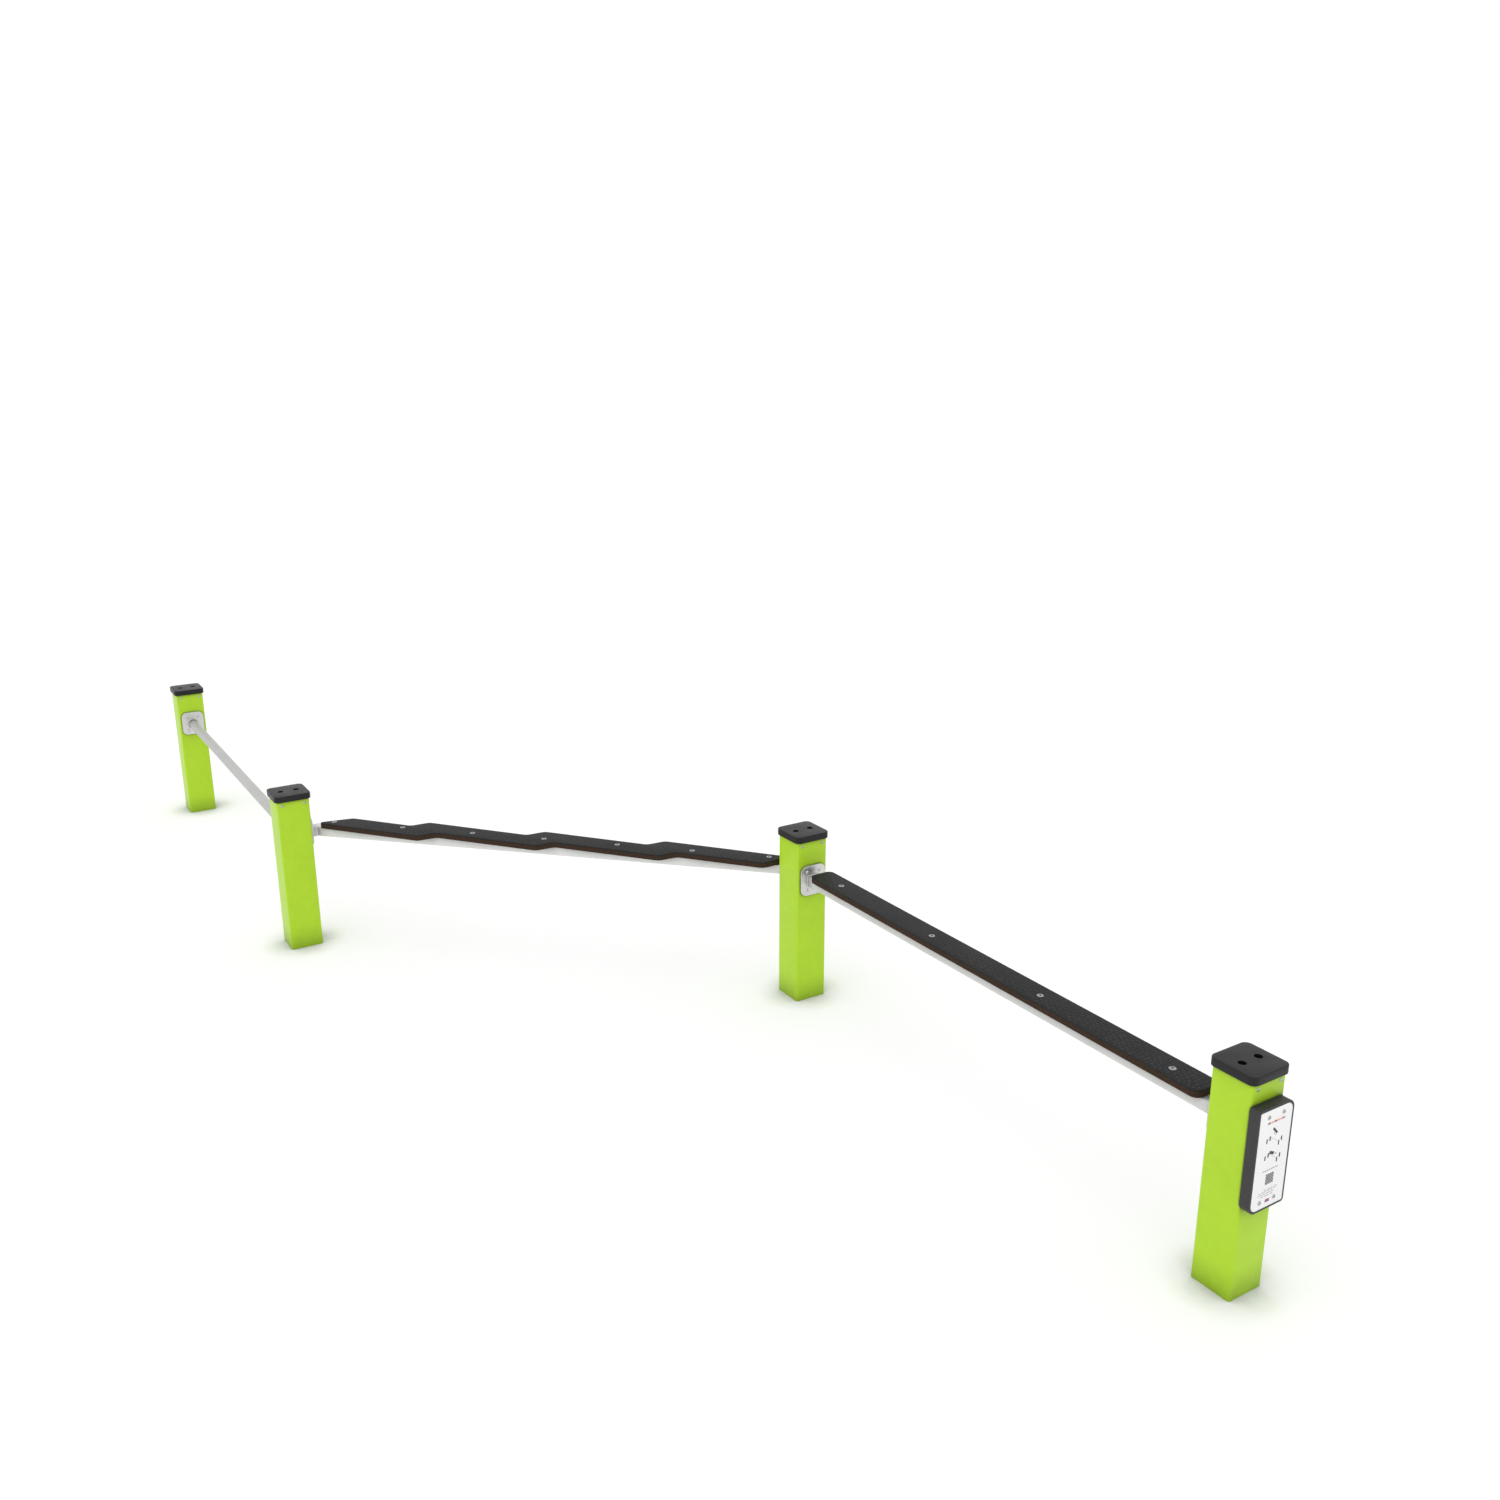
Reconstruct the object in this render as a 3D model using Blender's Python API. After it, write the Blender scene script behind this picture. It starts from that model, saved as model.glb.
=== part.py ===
"""Balance trail: four square posts joined by a round rail, a zigzag plank and a straight plank.

Every length is in metres. Post 1 stands at the far end of the round rail, post 2 between the
round rail and the zigzag span, post 3 between the zigzag and the straight span, and post 4
carries the sign. The design is laid out with post 2 at its zero, and one empty moves all of it
so that the model's origin is the middle of its footprint, on the ground.
"""

import math

import bmesh
import bpy
from mathutils import Matrix, Vector

# Layout
SPAN = 1.570
DIAGONAL_STEP = 1.165
RAIL_BELOW_TOP = 0.119
FIT_GAP = 0.0003
CUT_OVERRUN = 0.004

# Posts
POST_SIDE = 0.100
POST_HEIGHT = 0.4975
POST_WALL = 0.003
POST_CORNER = 0.006
FOOT_THICKNESS = 0.005

# Post caps
CAP_OVERHANG = 0.0063
CAP_THICKNESS = 0.019
CAP_CORNER = 0.016
CAP_TOP_EASE = 0.002
CAP_UNDER_EASE = 0.0008
SPIGOT_DEPTH = 0.026
SPIGOT_WALL = 0.0035
CAP_HOLE_RADIUS = 0.008
CAP_HOLE_DEPTH = 0.009
CAP_HOLE_SPACING = 0.0487

# Side screws that hold the caps
SCREW_HEAD_RADIUS = 0.0045
SCREW_HEAD_HEIGHT = 0.0018
SCREW_SHANK_RADIUS = 0.002
CAP_SCREW_LENGTH = 0.011
CAP_SCREW_FROM_EDGE = 0.016
CAP_SCREW_BELOW_TOP = 0.0125

# Flange plates and their bolts
FLANGE_WIDTH = 0.083
FLANGE_HEIGHT = 0.091
FLANGE_THICKNESS = 0.005
FLANGE_CORNER = 0.020
FLANGE_BOLT_ACROSS = 0.041
FLANGE_BOLT_UP = 0.056
FLANGE_BOLT_RADIUS = 0.0045
FLANGE_BOLT_HEIGHT = 0.003
FLANGE_BOLT_SHANK_RADIUS = 0.003
FLANGE_BOLT_BITE = 0.007

# Round rail
ROUND_RADIUS = 0.01685
ROUND_RAIL_DROP = 0.003
ROUND_WALL = 0.0026

# Box beams
BEAM_WIDTH = 0.040
BEAM_HEIGHT = 0.030
BEAM_WALL = 0.0025
BEAM_CORNER = 0.004
BEAM_TO_BOLT_GAP = 0.0005
STUB_LENGTH = 0.033
STRAIGHT_BEAM_DROP = 0.001

# Planks
PLANK_WIDTH = 0.0745
PLANK_THICKNESS = 0.0175
PLANK_EASE = 0.001
STRAIGHT_PLANK_END_GAP = 0.0337
STRAIGHT_PLANK_CORNER = 0.018

# Zigzag plank: each jog steps sideways by JOG_RISE over JOG_RUN, and the long edges between
# two jogs drift back by the same amount. The first and last jogs and both ends keep their
# distances from the two bends of the beam, and the plank lies aside from the beam's middle.
ZIGZAG_ASIDE = 0.008
JOG_COUNT = 3
JOG_FROM_BEND = 0.3757
JOG_RISE = 0.0395
JOG_RUN = 0.045
JOG_LEAD = 0.0305
JOG_SHIFT = -0.007
JOG_CORNER = 0.025
FIRST_END_FROM_BEND = 0.0356
LAST_END_FROM_BEND = 0.0088
FIRST_SLANT_RUN = 0.069
LAST_SLANT_RUN = 0.043
END_SLANT_RISE = 0.046
SHARP_END_CORNER = 0.008
BLUNT_END_CORNER = 0.030
LAST_SHARP_CORNER = 0.016

# Plank bolts
BOLT_HEAD_RADIUS = 0.0073
BOLT_HEAD_HEIGHT = 0.0012
BOLT_SHANK_RADIUS = 0.004
BOLT_BELOW_BEAM_WALL = 0.004
STRAIGHT_BOLT_COUNT = 4
STRAIGHT_BOLT_FROM_END = 0.1015
STRAIGHT_BOLT_SHIFT = 0.0085
STRAIGHT_BOLT_ASIDE = 0.004
ZIGZAG_BOLT_COUNT = 7
ZIGZAG_BOLT_FROM_BEND = 0.057
ZIGZAG_BOLT_SHIFT = 0.005

# Sign on post 4
SIGN_BELOW_TOP = 0.163
SIGN_WIDTH = 0.107
SIGN_HEIGHT = 0.235
SIGN_DEPTH = 0.021
SIGN_CORNER = 0.016
SIGN_EASE = 0.003
SIGN_MARGIN = 0.0055
SIGN_PLATE_THICKNESS = 0.002
SIGN_SCREW_FROM_SIDE = 0.0315
SIGN_SCREW_FROM_END = 0.021
SIGN_SCREW_BITE = 0.007

# How finely round shapes are divided
CORNER_STEPS = 5
JOG_STEPS = 6
TUBE_SEGMENTS = 36
SCREW_SEGMENTS = 12
RECESS_SEGMENTS = 16
DOME_STEPS = 2
EASE_STEPS = 3
SMOOTH_ANGLE = math.radians(35)
WELD_DISTANCE = 0.00001

# Sizes worked out from those above
HALF_POST = POST_SIDE / 2
CLEAR_SPAN = SPAN - POST_SIDE
RAIL_LEVEL = POST_HEIGHT - RAIL_BELOW_TOP

CAP_HALF = HALF_POST + CAP_OVERHANG
CAP_BASE = POST_HEIGHT + FIT_GAP
CAP_SCREW_LEVEL = POST_HEIGHT - CAP_SCREW_BELOW_TOP
CAP_SCREW_SPACING = POST_SIDE - CAP_SCREW_FROM_EDGE * 2
SPIGOT_INSIDE = POST_WALL + FIT_GAP + SPIGOT_WALL

FLANGE_FACE = FIT_GAP + FLANGE_THICKNESS
RAIL_START = FLANGE_FACE + FIT_GAP
FLANGE_BOLT_LENGTH = FLANGE_THICKNESS + FIT_GAP + POST_WALL + FLANGE_BOLT_BITE
LOWER_BOLT_TOP = RAIL_LEVEL - FLANGE_BOLT_UP / 2 + FLANGE_BOLT_RADIUS

STRAIGHT_PLANK_LENGTH = CLEAR_SPAN - (FLANGE_FACE + STRAIGHT_PLANK_END_GAP) * 2
STRAIGHT_LEVEL = RAIL_LEVEL - STRAIGHT_BEAM_DROP
STRAIGHT_PLANK_BASE = STRAIGHT_LEVEL + BEAM_HEIGHT / 2 + FIT_GAP
STRAIGHT_BOLT_ROW = STRAIGHT_PLANK_LENGTH - STRAIGHT_BOLT_FROM_END * 2
STRAIGHT_BOLT_PITCH = STRAIGHT_BOLT_ROW / (STRAIGHT_BOLT_COUNT - 1)
BOLT_SHANK_LENGTH = PLANK_THICKNESS + FIT_GAP * 2 + BEAM_WALL + BOLT_BELOW_BEAM_WALL

DIAGONAL_RUN = (DIAGONAL_STEP - HALF_POST - STUB_LENGTH) * math.sqrt(2)
FIRST_END_REACH = DIAGONAL_RUN / 2 - FIRST_END_FROM_BEND
LAST_END_REACH = DIAGONAL_RUN / 2 - LAST_END_FROM_BEND
JOG_PITCH = (DIAGONAL_RUN - JOG_FROM_BEND * 2) / (JOG_COUNT - 1)
ZIGZAG_LEVEL = LOWER_BOLT_TOP + BEAM_TO_BOLT_GAP + BEAM_HEIGHT / 2
ZIGZAG_PLANK_BASE = ZIGZAG_LEVEL + BEAM_HEIGHT / 2 + FIT_GAP
ZIGZAG_BOLT_PITCH = (DIAGONAL_RUN - ZIGZAG_BOLT_FROM_BEND * 2) / (ZIGZAG_BOLT_COUNT - 1)

SIGN_LEVEL = POST_HEIGHT - SIGN_BELOW_TOP
SIGN_BACK = HALF_POST + FIT_GAP
SIGN_PLATE_BACK = SIGN_BACK + SIGN_DEPTH + FIT_GAP
SIGN_FACE = SIGN_PLATE_BACK + SIGN_PLATE_THICKNESS
SIGN_SCREW_ACROSS = SIGN_WIDTH - SIGN_SCREW_FROM_SIDE * 2
SIGN_SCREW_UP = SIGN_HEIGHT - SIGN_SCREW_FROM_END * 2
SIGN_SCREW_LENGTH = SIGN_FACE + FIT_GAP - HALF_POST + POST_WALL + SIGN_SCREW_BITE
SIGN_FRONT = SIGN_FACE + FIT_GAP + SCREW_HEAD_HEIGHT
CAP_SCREW_FRONT = HALF_POST + FIT_GAP + SCREW_HEAD_HEIGHT

POSTS = {
    "post_1": Vector((0, SPAN, 0)),
    "post_2": Vector((0, 0, 0)),
    "post_3": Vector((DIAGONAL_STEP, -DIAGONAL_STEP, 0)),
    "post_4": Vector((DIAGONAL_STEP, -DIAGONAL_STEP - SPAN, 0)),
}

# Level directions that a post's faces point in, with the sign on a near face
NEAR = (0, -1, 0)
FAR = (0, 1, 0)
RIGHT = (1, 0, 0)

# Each flange plate, the post that carries it and the way it faces
FLANGES = [
    ("round_rail_flange_1", "post_1", NEAR),
    ("round_rail_flange_2", "post_2", FAR),
    ("zigzag_flange_2", "post_2", RIGHT),
    ("zigzag_flange_3", "post_3", FAR),
    ("straight_flange_3", "post_3", NEAR),
    ("straight_flange_4", "post_4", FAR),
]

# Footprint, for the model's origin
FAR_Y = SPAN + CAP_HALF
NEAR_Y = -DIAGONAL_STEP - SPAN - max(CAP_HALF, SIGN_FRONT, CAP_SCREW_FRONT)
FOOTPRINT_MIDDLE = Vector((DIAGONAL_STEP / 2, (FAR_Y + NEAR_Y) / 2, 0))

QUARTER_TURN = math.pi / 2
EIGHTH_TURN = math.pi / 4


def clear_scene():
    """Remove every object the file starts with."""
    for old in list(bpy.data.objects):
        bpy.data.objects.remove(old, do_unlink=True)


def make_material(name, colour, roughness, metallic):
    """A Principled BSDF with one colour."""
    material = bpy.data.materials.new(name)
    material.use_nodes = True
    shader = material.node_tree.nodes["Principled BSDF"]
    shader.inputs["Base Color"].default_value = (*colour, 1)
    shader.inputs["Roughness"].default_value = roughness
    shader.inputs["Metallic"].default_value = metallic
    material.diffuse_color = (*colour, 1)
    return material


def make_object(name, mesh_builder, material, place=Matrix.Identity(4)):
    """Turn a bmesh into a named object that hangs on the trail's empty."""
    bmesh.ops.recalc_face_normals(mesh_builder, faces=mesh_builder.faces)
    mesh = bpy.data.meshes.new(name)
    mesh_builder.to_mesh(mesh)
    mesh_builder.free()
    mesh.shade_smooth()
    mesh.set_sharp_from_angle(angle=SMOOTH_ANGLE)
    if material:
        mesh.materials.append(material)
    piece = bpy.data.objects.new(name, mesh)
    bpy.context.collection.objects.link(piece)
    piece.parent = TRAIL
    piece.matrix_local = place
    return piece


def add_boolean(piece, tool_builder, operation, place):
    """Cut a shape out of a piece, or join it on, with a hidden tool object."""
    number = len(piece.modifiers) + 1
    tool = make_object(f"{piece.name}_tool_{number}", tool_builder, None, place)
    tool.hide_render = True
    tool.display_type = "WIRE"
    step = piece.modifiers.new(operation.title(), "BOOLEAN")
    step.operation = operation
    step.solver = "EXACT"
    step.object = tool


def rounded_outline(corners, inset=0, steps=CORNER_STEPS):
    """Points of a polygon, counter-clockwise, with each corner (x, y, radius) rounded.

    A positive inset draws the whole outline inwards and keeps its arcs concentric.
    """
    points = []
    for index, (x, y, radius) in enumerate(corners):
        corner = Vector((x, y))
        before = Vector(corners[index - 1][:2])
        after = Vector(corners[(index + 1) % len(corners)][:2])
        arriving = (corner - before).normalized()
        leaving = (after - corner).normalized()
        arriving_in = Vector((-arriving.y, arriving.x))
        leaving_in = Vector((-leaving.y, leaving.x))
        turn = math.atan2(arriving.cross(leaving), arriving.dot(leaving))
        side = math.copysign(1, turn)
        corner += (arriving_in + leaving_in) * inset / (1 + arriving_in.dot(leaving_in))
        bend = radius - inset * side
        start = corner - arriving * bend * math.tan(abs(turn) / 2)
        centre = start + arriving_in * bend * side
        for step in range(steps + 1):
            angle = turn * step / steps
            spoke = (start - centre).copy()
            spoke.rotate(Matrix.Rotation(angle, 2))
            points.append(centre + spoke)
    return points


def rectangle_outline(width, height, radius, inset=0):
    """A rounded rectangle about the origin."""
    x = width / 2
    y = height / 2
    corners = [(x, y, radius), (-x, y, radius), (-x, -y, radius), (x, -y, radius)]
    return rounded_outline(corners, inset)


def circle_outline(radius, segments):
    """A circle about the origin."""
    turns = [2 * math.pi * step / segments for step in range(segments)]
    return [Vector((radius * math.cos(turn), radius * math.sin(turn))) for turn in turns]


def at_height(outline, height):
    """Lift a flat outline to one height."""
    return [Vector((point.x, point.y, height)) for point in outline]


def loft(loops, ring=False):
    """Join loops of equal count with faces, and close them into a solid or into a ring."""
    builder = bmesh.new()
    rows = [[builder.verts.new(point) for point in loop] for loop in loops]
    pairs = list(zip(rows, rows[1:]))
    if ring:
        pairs.append((rows[-1], rows[0]))
    else:
        builder.faces.new(rows[0])
        builder.faces.new(rows[-1])
    for lower, upper in pairs:
        for index in range(len(lower)):
            after = (index + 1) % len(lower)
            builder.faces.new((lower[index], lower[after], upper[after], upper[index]))
    return builder


def add_prisms(outline, low, high, places):
    """Several copies of one straight prism in a single bmesh."""
    builder = bmesh.new()
    for x, y in places:
        shift = Vector((x, y, 0))
        base = [builder.verts.new(point + shift) for point in at_height(outline, low)]
        bottom = builder.faces.new(base)
        made = bmesh.ops.extrude_face_region(builder, geom=[bottom])
        top = [item for item in made["geom"] if isinstance(item, bmesh.types.BMVert)]
        bmesh.ops.translate(builder, verts=top, vec=Vector((0, 0, high - low)))
    return builder


def turn_profiles(profile, segments, places=((0, 0),)):
    """Spin a profile of (radius, height) points into a closed solid at each of the places."""
    builder = bmesh.new()
    for x, y in places:
        chain = [builder.verts.new((x + radius, y, height)) for radius, height in profile]
        edges = [builder.edges.new(pair) for pair in zip(chain, chain[1:])]
        bmesh.ops.spin(
            builder,
            geom=chain + edges,
            axis=(0, 0, 1),
            cent=(x, y, 0),
            angle=2 * math.pi,
            steps=segments,
            use_merge=True,
        )
    bmesh.ops.remove_doubles(builder, verts=builder.verts, dist=WELD_DISTANCE)
    return builder


def dome_profile(radius, height):
    """The side of a low dome, from its top centre down to its rim."""
    ball = (radius * radius + height * height) / (2 * height)
    reach = math.asin(radius / ball)
    angles = [reach * step / DOME_STEPS for step in range(DOME_STEPS + 1)]
    return [(ball * math.sin(a), height - ball * (1 - math.cos(a))) for a in angles]


def screw_builder(head_radius, head_height, shank_radius, shank_length):
    """A domed screw that stands on its head's underside, with its shank below."""
    profile = dome_profile(head_radius, head_height)
    profile += [(shank_radius, 0), (shank_radius, -shank_length), (0, -shank_length)]
    return turn_profiles(profile, SCREW_SEGMENTS)


def facing(direction, position):
    """A placement with its Z axis along a level direction and its Y axis upwards."""
    forward = Vector(direction).normalized()
    upward = Vector((0, 0, 1))
    sideways = upward.cross(forward)
    frame = Matrix((sideways, upward, forward)).transposed().to_4x4()
    return Matrix.Translation(position) @ frame


def grid_places(across, up):
    """The four corners of a rectangle about the origin."""
    return [(x * across / 2, y * up / 2) for x in (-1, 1) for y in (-1, 1)]


def pair_places(spacing):
    """Two places along X about the origin."""
    return [(-spacing / 2, 0), (spacing / 2, 0)]


def row_places(count, pitch):
    """Evenly spaced places along X about the origin."""
    return [((index - (count - 1) / 2) * pitch, 0) for index in range(count)]


def make_post(name, foot):
    """A square tube with rounded corners, open at both ends, drilled for its cap screws."""
    outer = rectangle_outline(POST_SIDE, POST_SIDE, POST_CORNER)
    inner = rectangle_outline(POST_SIDE, POST_SIDE, POST_CORNER, POST_WALL)
    loops = [
        at_height(outer, 0),
        at_height(outer, POST_HEIGHT),
        at_height(inner, POST_HEIGHT),
        at_height(inner, 0),
    ]
    post = make_object(name, loft(loops, ring=True), GREEN, Matrix.Translation(foot))
    near_face = facing(NEAR, foot + Vector((0, -HALF_POST, CAP_SCREW_LEVEL)))
    drill(post, near_face, SCREW_SHANK_RADIUS, pair_places(CAP_SCREW_SPACING), POST_WALL)
    return post


def drill(piece, face, shank_radius, places, depth):
    """Drill clearance holes into a face, through a depth of material behind it."""
    hole = circle_outline(shank_radius + FIT_GAP, SCREW_SEGMENTS)
    holes = add_prisms(hole, -depth - CUT_OVERRUN, CUT_OVERRUN, places)
    add_boolean(piece, holes, "DIFFERENCE", face)


def make_foot_plate(name, foot):
    """A plate inside the post's foot, flush with the ground."""
    wall = POST_WALL + FIT_GAP
    outline = rectangle_outline(POST_SIDE, POST_SIDE, POST_CORNER, wall)
    loops = [at_height(outline, 0), at_height(outline, FOOT_THICKNESS)]
    make_object(name, loft(loops), STEEL, Matrix.Translation(foot))


def make_cap(name, foot):
    """A moulded cap: a thick lid with soft edges over a hollow spigot inside the post."""
    side = CAP_HALF * 2
    wall = POST_WALL + FIT_GAP
    spigot_outer = rectangle_outline(POST_SIDE, POST_SIDE, POST_CORNER, wall)
    spigot_inner = rectangle_outline(POST_SIDE, POST_SIDE, POST_CORNER, SPIGOT_INSIDE)
    loops = []
    for step in range(EASE_STEPS + 1):
        angle = QUARTER_TURN * step / EASE_STEPS
        inset = CAP_TOP_EASE * (1 - math.sin(angle))
        drop = CAP_TOP_EASE * (1 - math.cos(angle))
        outline = rectangle_outline(side, side, CAP_CORNER, inset)
        loops.append(at_height(outline, CAP_THICKNESS - drop))
    full = rectangle_outline(side, side, CAP_CORNER)
    under = rectangle_outline(side, side, CAP_CORNER, CAP_UNDER_EASE)
    loops.append(at_height(full, CAP_UNDER_EASE))
    loops.append(at_height(under, 0))
    loops.append(at_height(spigot_outer, 0))
    loops.append(at_height(spigot_outer, -SPIGOT_DEPTH))
    loops.append(at_height(spigot_inner, -SPIGOT_DEPTH))
    loops.append(at_height(spigot_inner, 0))
    place = Matrix.Translation(foot + Vector((0, 0, CAP_BASE)))
    cap = make_object(name, loft(loops), CAP_PLASTIC, place)
    recess = circle_outline(CAP_HOLE_RADIUS, RECESS_SEGMENTS)
    floor = CAP_THICKNESS - CAP_HOLE_DEPTH
    recesses = add_prisms(recess, floor, CAP_THICKNESS + CUT_OVERRUN, pair_places(CAP_HOLE_SPACING))
    add_boolean(cap, recesses, "DIFFERENCE", place)
    near_face = facing(NEAR, foot + Vector((0, -HALF_POST, CAP_SCREW_LEVEL)))
    drill(cap, near_face, SCREW_SHANK_RADIUS, pair_places(CAP_SCREW_SPACING), SPIGOT_INSIDE)


def make_face_screws(name, foot, level, stand_off, length, places):
    """Domed screws through a post's near face."""
    head_seat = foot + Vector((0, -HALF_POST - stand_off - FIT_GAP, level))
    frame = facing(NEAR, head_seat)
    for number, (x, y) in enumerate(places, start=1):
        builder = screw_builder(SCREW_HEAD_RADIUS, SCREW_HEAD_HEIGHT, SCREW_SHANK_RADIUS, length)
        place = frame @ Matrix.Translation((x, y, 0))
        make_object(f"{name}_{number}", builder, ZINC, place)


def make_flange(name, post, foot, direction):
    """A rounded plate bolted to one face of a post, with its four bolts fused to it."""
    outline = rectangle_outline(FLANGE_WIDTH, FLANGE_HEIGHT, FLANGE_CORNER)
    loops = [at_height(outline, 0), at_height(outline, FLANGE_THICKNESS)]
    outward = Vector(direction)
    centre = foot + Vector((0, 0, RAIL_LEVEL))
    seat = facing(direction, centre + outward * (HALF_POST + FIT_GAP))
    flange = make_object(name, loft(loops), STEEL, seat)
    head = dome_profile(FLANGE_BOLT_RADIUS, FLANGE_BOLT_HEIGHT)
    sunk = -FLANGE_THICKNESS / 2
    tip = -FLANGE_BOLT_LENGTH
    shank = [(FLANGE_BOLT_SHANK_RADIUS, sunk), (FLANGE_BOLT_SHANK_RADIUS, tip), (0, tip)]
    profile = head + [(FLANGE_BOLT_RADIUS, sunk)] + shank
    places = grid_places(FLANGE_BOLT_ACROSS, FLANGE_BOLT_UP)
    bolts = turn_profiles(profile, SCREW_SEGMENTS, places)
    plate_face = facing(direction, centre + outward * (HALF_POST + FLANGE_FACE))
    add_boolean(flange, bolts, "UNION", plate_face)
    post_face = facing(direction, centre + outward * HALF_POST)
    drill(post, post_face, FLANGE_BOLT_SHANK_RADIUS, places, POST_WALL)


def sweep_level(path, outline_out, outline_in, level):
    """Sweep a hollow section along a level path, with mitred bends."""
    frames = []
    for index, point in enumerate(path):
        arriving = (point - path[index - 1]).normalized() if index else None
        leaving = (path[index + 1] - point).normalized() if index + 1 < len(path) else None
        arriving = arriving or leaving
        leaving = leaving or arriving
        middle = (arriving + leaving).normalized()
        sideways = Vector((middle.y, -middle.x, 0)) / middle.dot(arriving)
        frames.append((point, sideways))
    loops = []
    for outline, stations in ((outline_out, frames), (outline_in, frames[::-1])):
        for point, sideways in stations:
            loops.append([point + sideways * p.x + Vector((0, 0, level + p.y)) for p in outline])
    return loft(loops, ring=True)


def beam_sections():
    """The outer and inner outlines of the box beam."""
    outer = rectangle_outline(BEAM_WIDTH, BEAM_HEIGHT, BEAM_CORNER)
    inner = rectangle_outline(BEAM_WIDTH, BEAM_HEIGHT, BEAM_CORNER, BEAM_WALL)
    return outer, inner


def make_round_rail():
    """The round rail between posts 1 and 2."""
    outer = circle_outline(ROUND_RADIUS, TUBE_SEGMENTS)
    inner = circle_outline(ROUND_RADIUS - ROUND_WALL, TUBE_SEGMENTS)
    reach = CLEAR_SPAN / 2 - RAIL_START
    middle = (POSTS["post_1"] + POSTS["post_2"]) / 2
    path = [middle + Vector((0, reach, 0)), middle - Vector((0, reach, 0))]
    level = RAIL_LEVEL - ROUND_RAIL_DROP
    make_object("round_rail", sweep_level(path, outer, inner, level), STEEL)


def make_straight_beam():
    """The box beam between posts 3 and 4, drilled for its plank bolts."""
    outer, inner = beam_sections()
    reach = CLEAR_SPAN / 2 - RAIL_START
    middle = (POSTS["post_3"] + POSTS["post_4"]) / 2
    path = [middle + Vector((0, reach, 0)), middle - Vector((0, reach, 0))]
    beam = make_object("straight_beam", sweep_level(path, outer, inner, STRAIGHT_LEVEL), STEEL)
    top_face = straight_frame(STRAIGHT_LEVEL + BEAM_HEIGHT / 2)
    places = straight_bolt_places()
    drill(beam, top_face, BOLT_SHANK_RADIUS, places, BEAM_WALL)


def diagonal_ends():
    """Where the diagonal beam meets its two flanges, and where its two stubs end."""
    start = POSTS["post_2"] + Vector((HALF_POST + RAIL_START, 0, 0))
    finish = POSTS["post_3"] + Vector((0, HALF_POST + RAIL_START, 0))
    first_bend = POSTS["post_2"] + Vector((HALF_POST + STUB_LENGTH, 0, 0))
    last_bend = POSTS["post_3"] + Vector((0, HALF_POST + STUB_LENGTH, 0))
    return start, first_bend, last_bend, finish


def make_zigzag_beam():
    """The box beam between posts 2 and 3: a stub square to each flange and a diagonal run."""
    outer, inner = beam_sections()
    path = list(diagonal_ends())
    beam = make_object("zigzag_beam", sweep_level(path, outer, inner, ZIGZAG_LEVEL), STEEL)
    top_face = diagonal_frame(ZIGZAG_LEVEL + BEAM_HEIGHT / 2)
    places = zigzag_bolt_places()
    drill(beam, top_face, BOLT_SHANK_RADIUS, places, BEAM_WALL)


def straight_bolt_places():
    """Where the straight plank's bolts stand, about the middle of its span."""
    row = row_places(STRAIGHT_BOLT_COUNT, STRAIGHT_BOLT_PITCH)
    return [(x + STRAIGHT_BOLT_SHIFT, y - STRAIGHT_BOLT_ASIDE) for x, y in row]


def zigzag_bolt_places():
    """Where the zigzag plank's bolts stand, about the middle of the diagonal run."""
    row = row_places(ZIGZAG_BOLT_COUNT, ZIGZAG_BOLT_PITCH)
    return [(x + ZIGZAG_BOLT_SHIFT, y - ZIGZAG_ASIDE) for x, y in row]


def straight_frame(level):
    """A frame at the middle of the straight span, its X axis along the span."""
    middle = (POSTS["post_3"] + POSTS["post_4"]) / 2
    place = Matrix.Translation(middle + Vector((0, 0, level)))
    return place @ Matrix.Rotation(-QUARTER_TURN, 4, "Z")


def diagonal_frame(level):
    """A frame at the middle of the diagonal run, its X axis along the run."""
    first_bend, last_bend = diagonal_ends()[1:3]
    middle = (first_bend + last_bend) / 2
    place = Matrix.Translation(middle + Vector((0, 0, level)))
    return place @ Matrix.Rotation(-EIGHTH_TURN, 4, "Z")


def plank_builder(corners, steps):
    """A board with eased upper and lower edges, standing on its underside."""
    eased = rounded_outline(corners, PLANK_EASE, steps)
    full = rounded_outline(corners, 0, steps)
    loops = [
        at_height(eased, 0),
        at_height(full, PLANK_EASE),
        at_height(full, PLANK_THICKNESS - PLANK_EASE),
        at_height(eased, PLANK_THICKNESS),
    ]
    return loft(loops)


def bolt_plank(name, plank, frame, places):
    """Drill a plank and set domed bolts through it and through the beam's top wall."""
    top_face = frame @ Matrix.Translation((0, 0, PLANK_THICKNESS))
    drill(plank, top_face, BOLT_SHANK_RADIUS, places, PLANK_THICKNESS)
    for number, (x, y) in enumerate(places, start=1):
        builder = screw_builder(
            BOLT_HEAD_RADIUS, BOLT_HEAD_HEIGHT, BOLT_SHANK_RADIUS, BOLT_SHANK_LENGTH
        )
        place = top_face @ Matrix.Translation((x, y, FIT_GAP))
        make_object(f"{name}_{number}", builder, ZINC, place)


def make_straight_plank():
    """The straight plank and its bolts."""
    x = STRAIGHT_PLANK_LENGTH / 2
    y = PLANK_WIDTH / 2
    radius = STRAIGHT_PLANK_CORNER
    corners = [(x, y, radius), (-x, y, radius), (-x, -y, radius), (x, -y, radius)]
    place = straight_frame(STRAIGHT_PLANK_BASE)
    builder = plank_builder(corners, CORNER_STEPS)
    plank = make_object("straight_plank", builder, PLANK_BLACK, place)
    bolt_plank("straight_plank_bolt", plank, place, straight_bolt_places())


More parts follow.
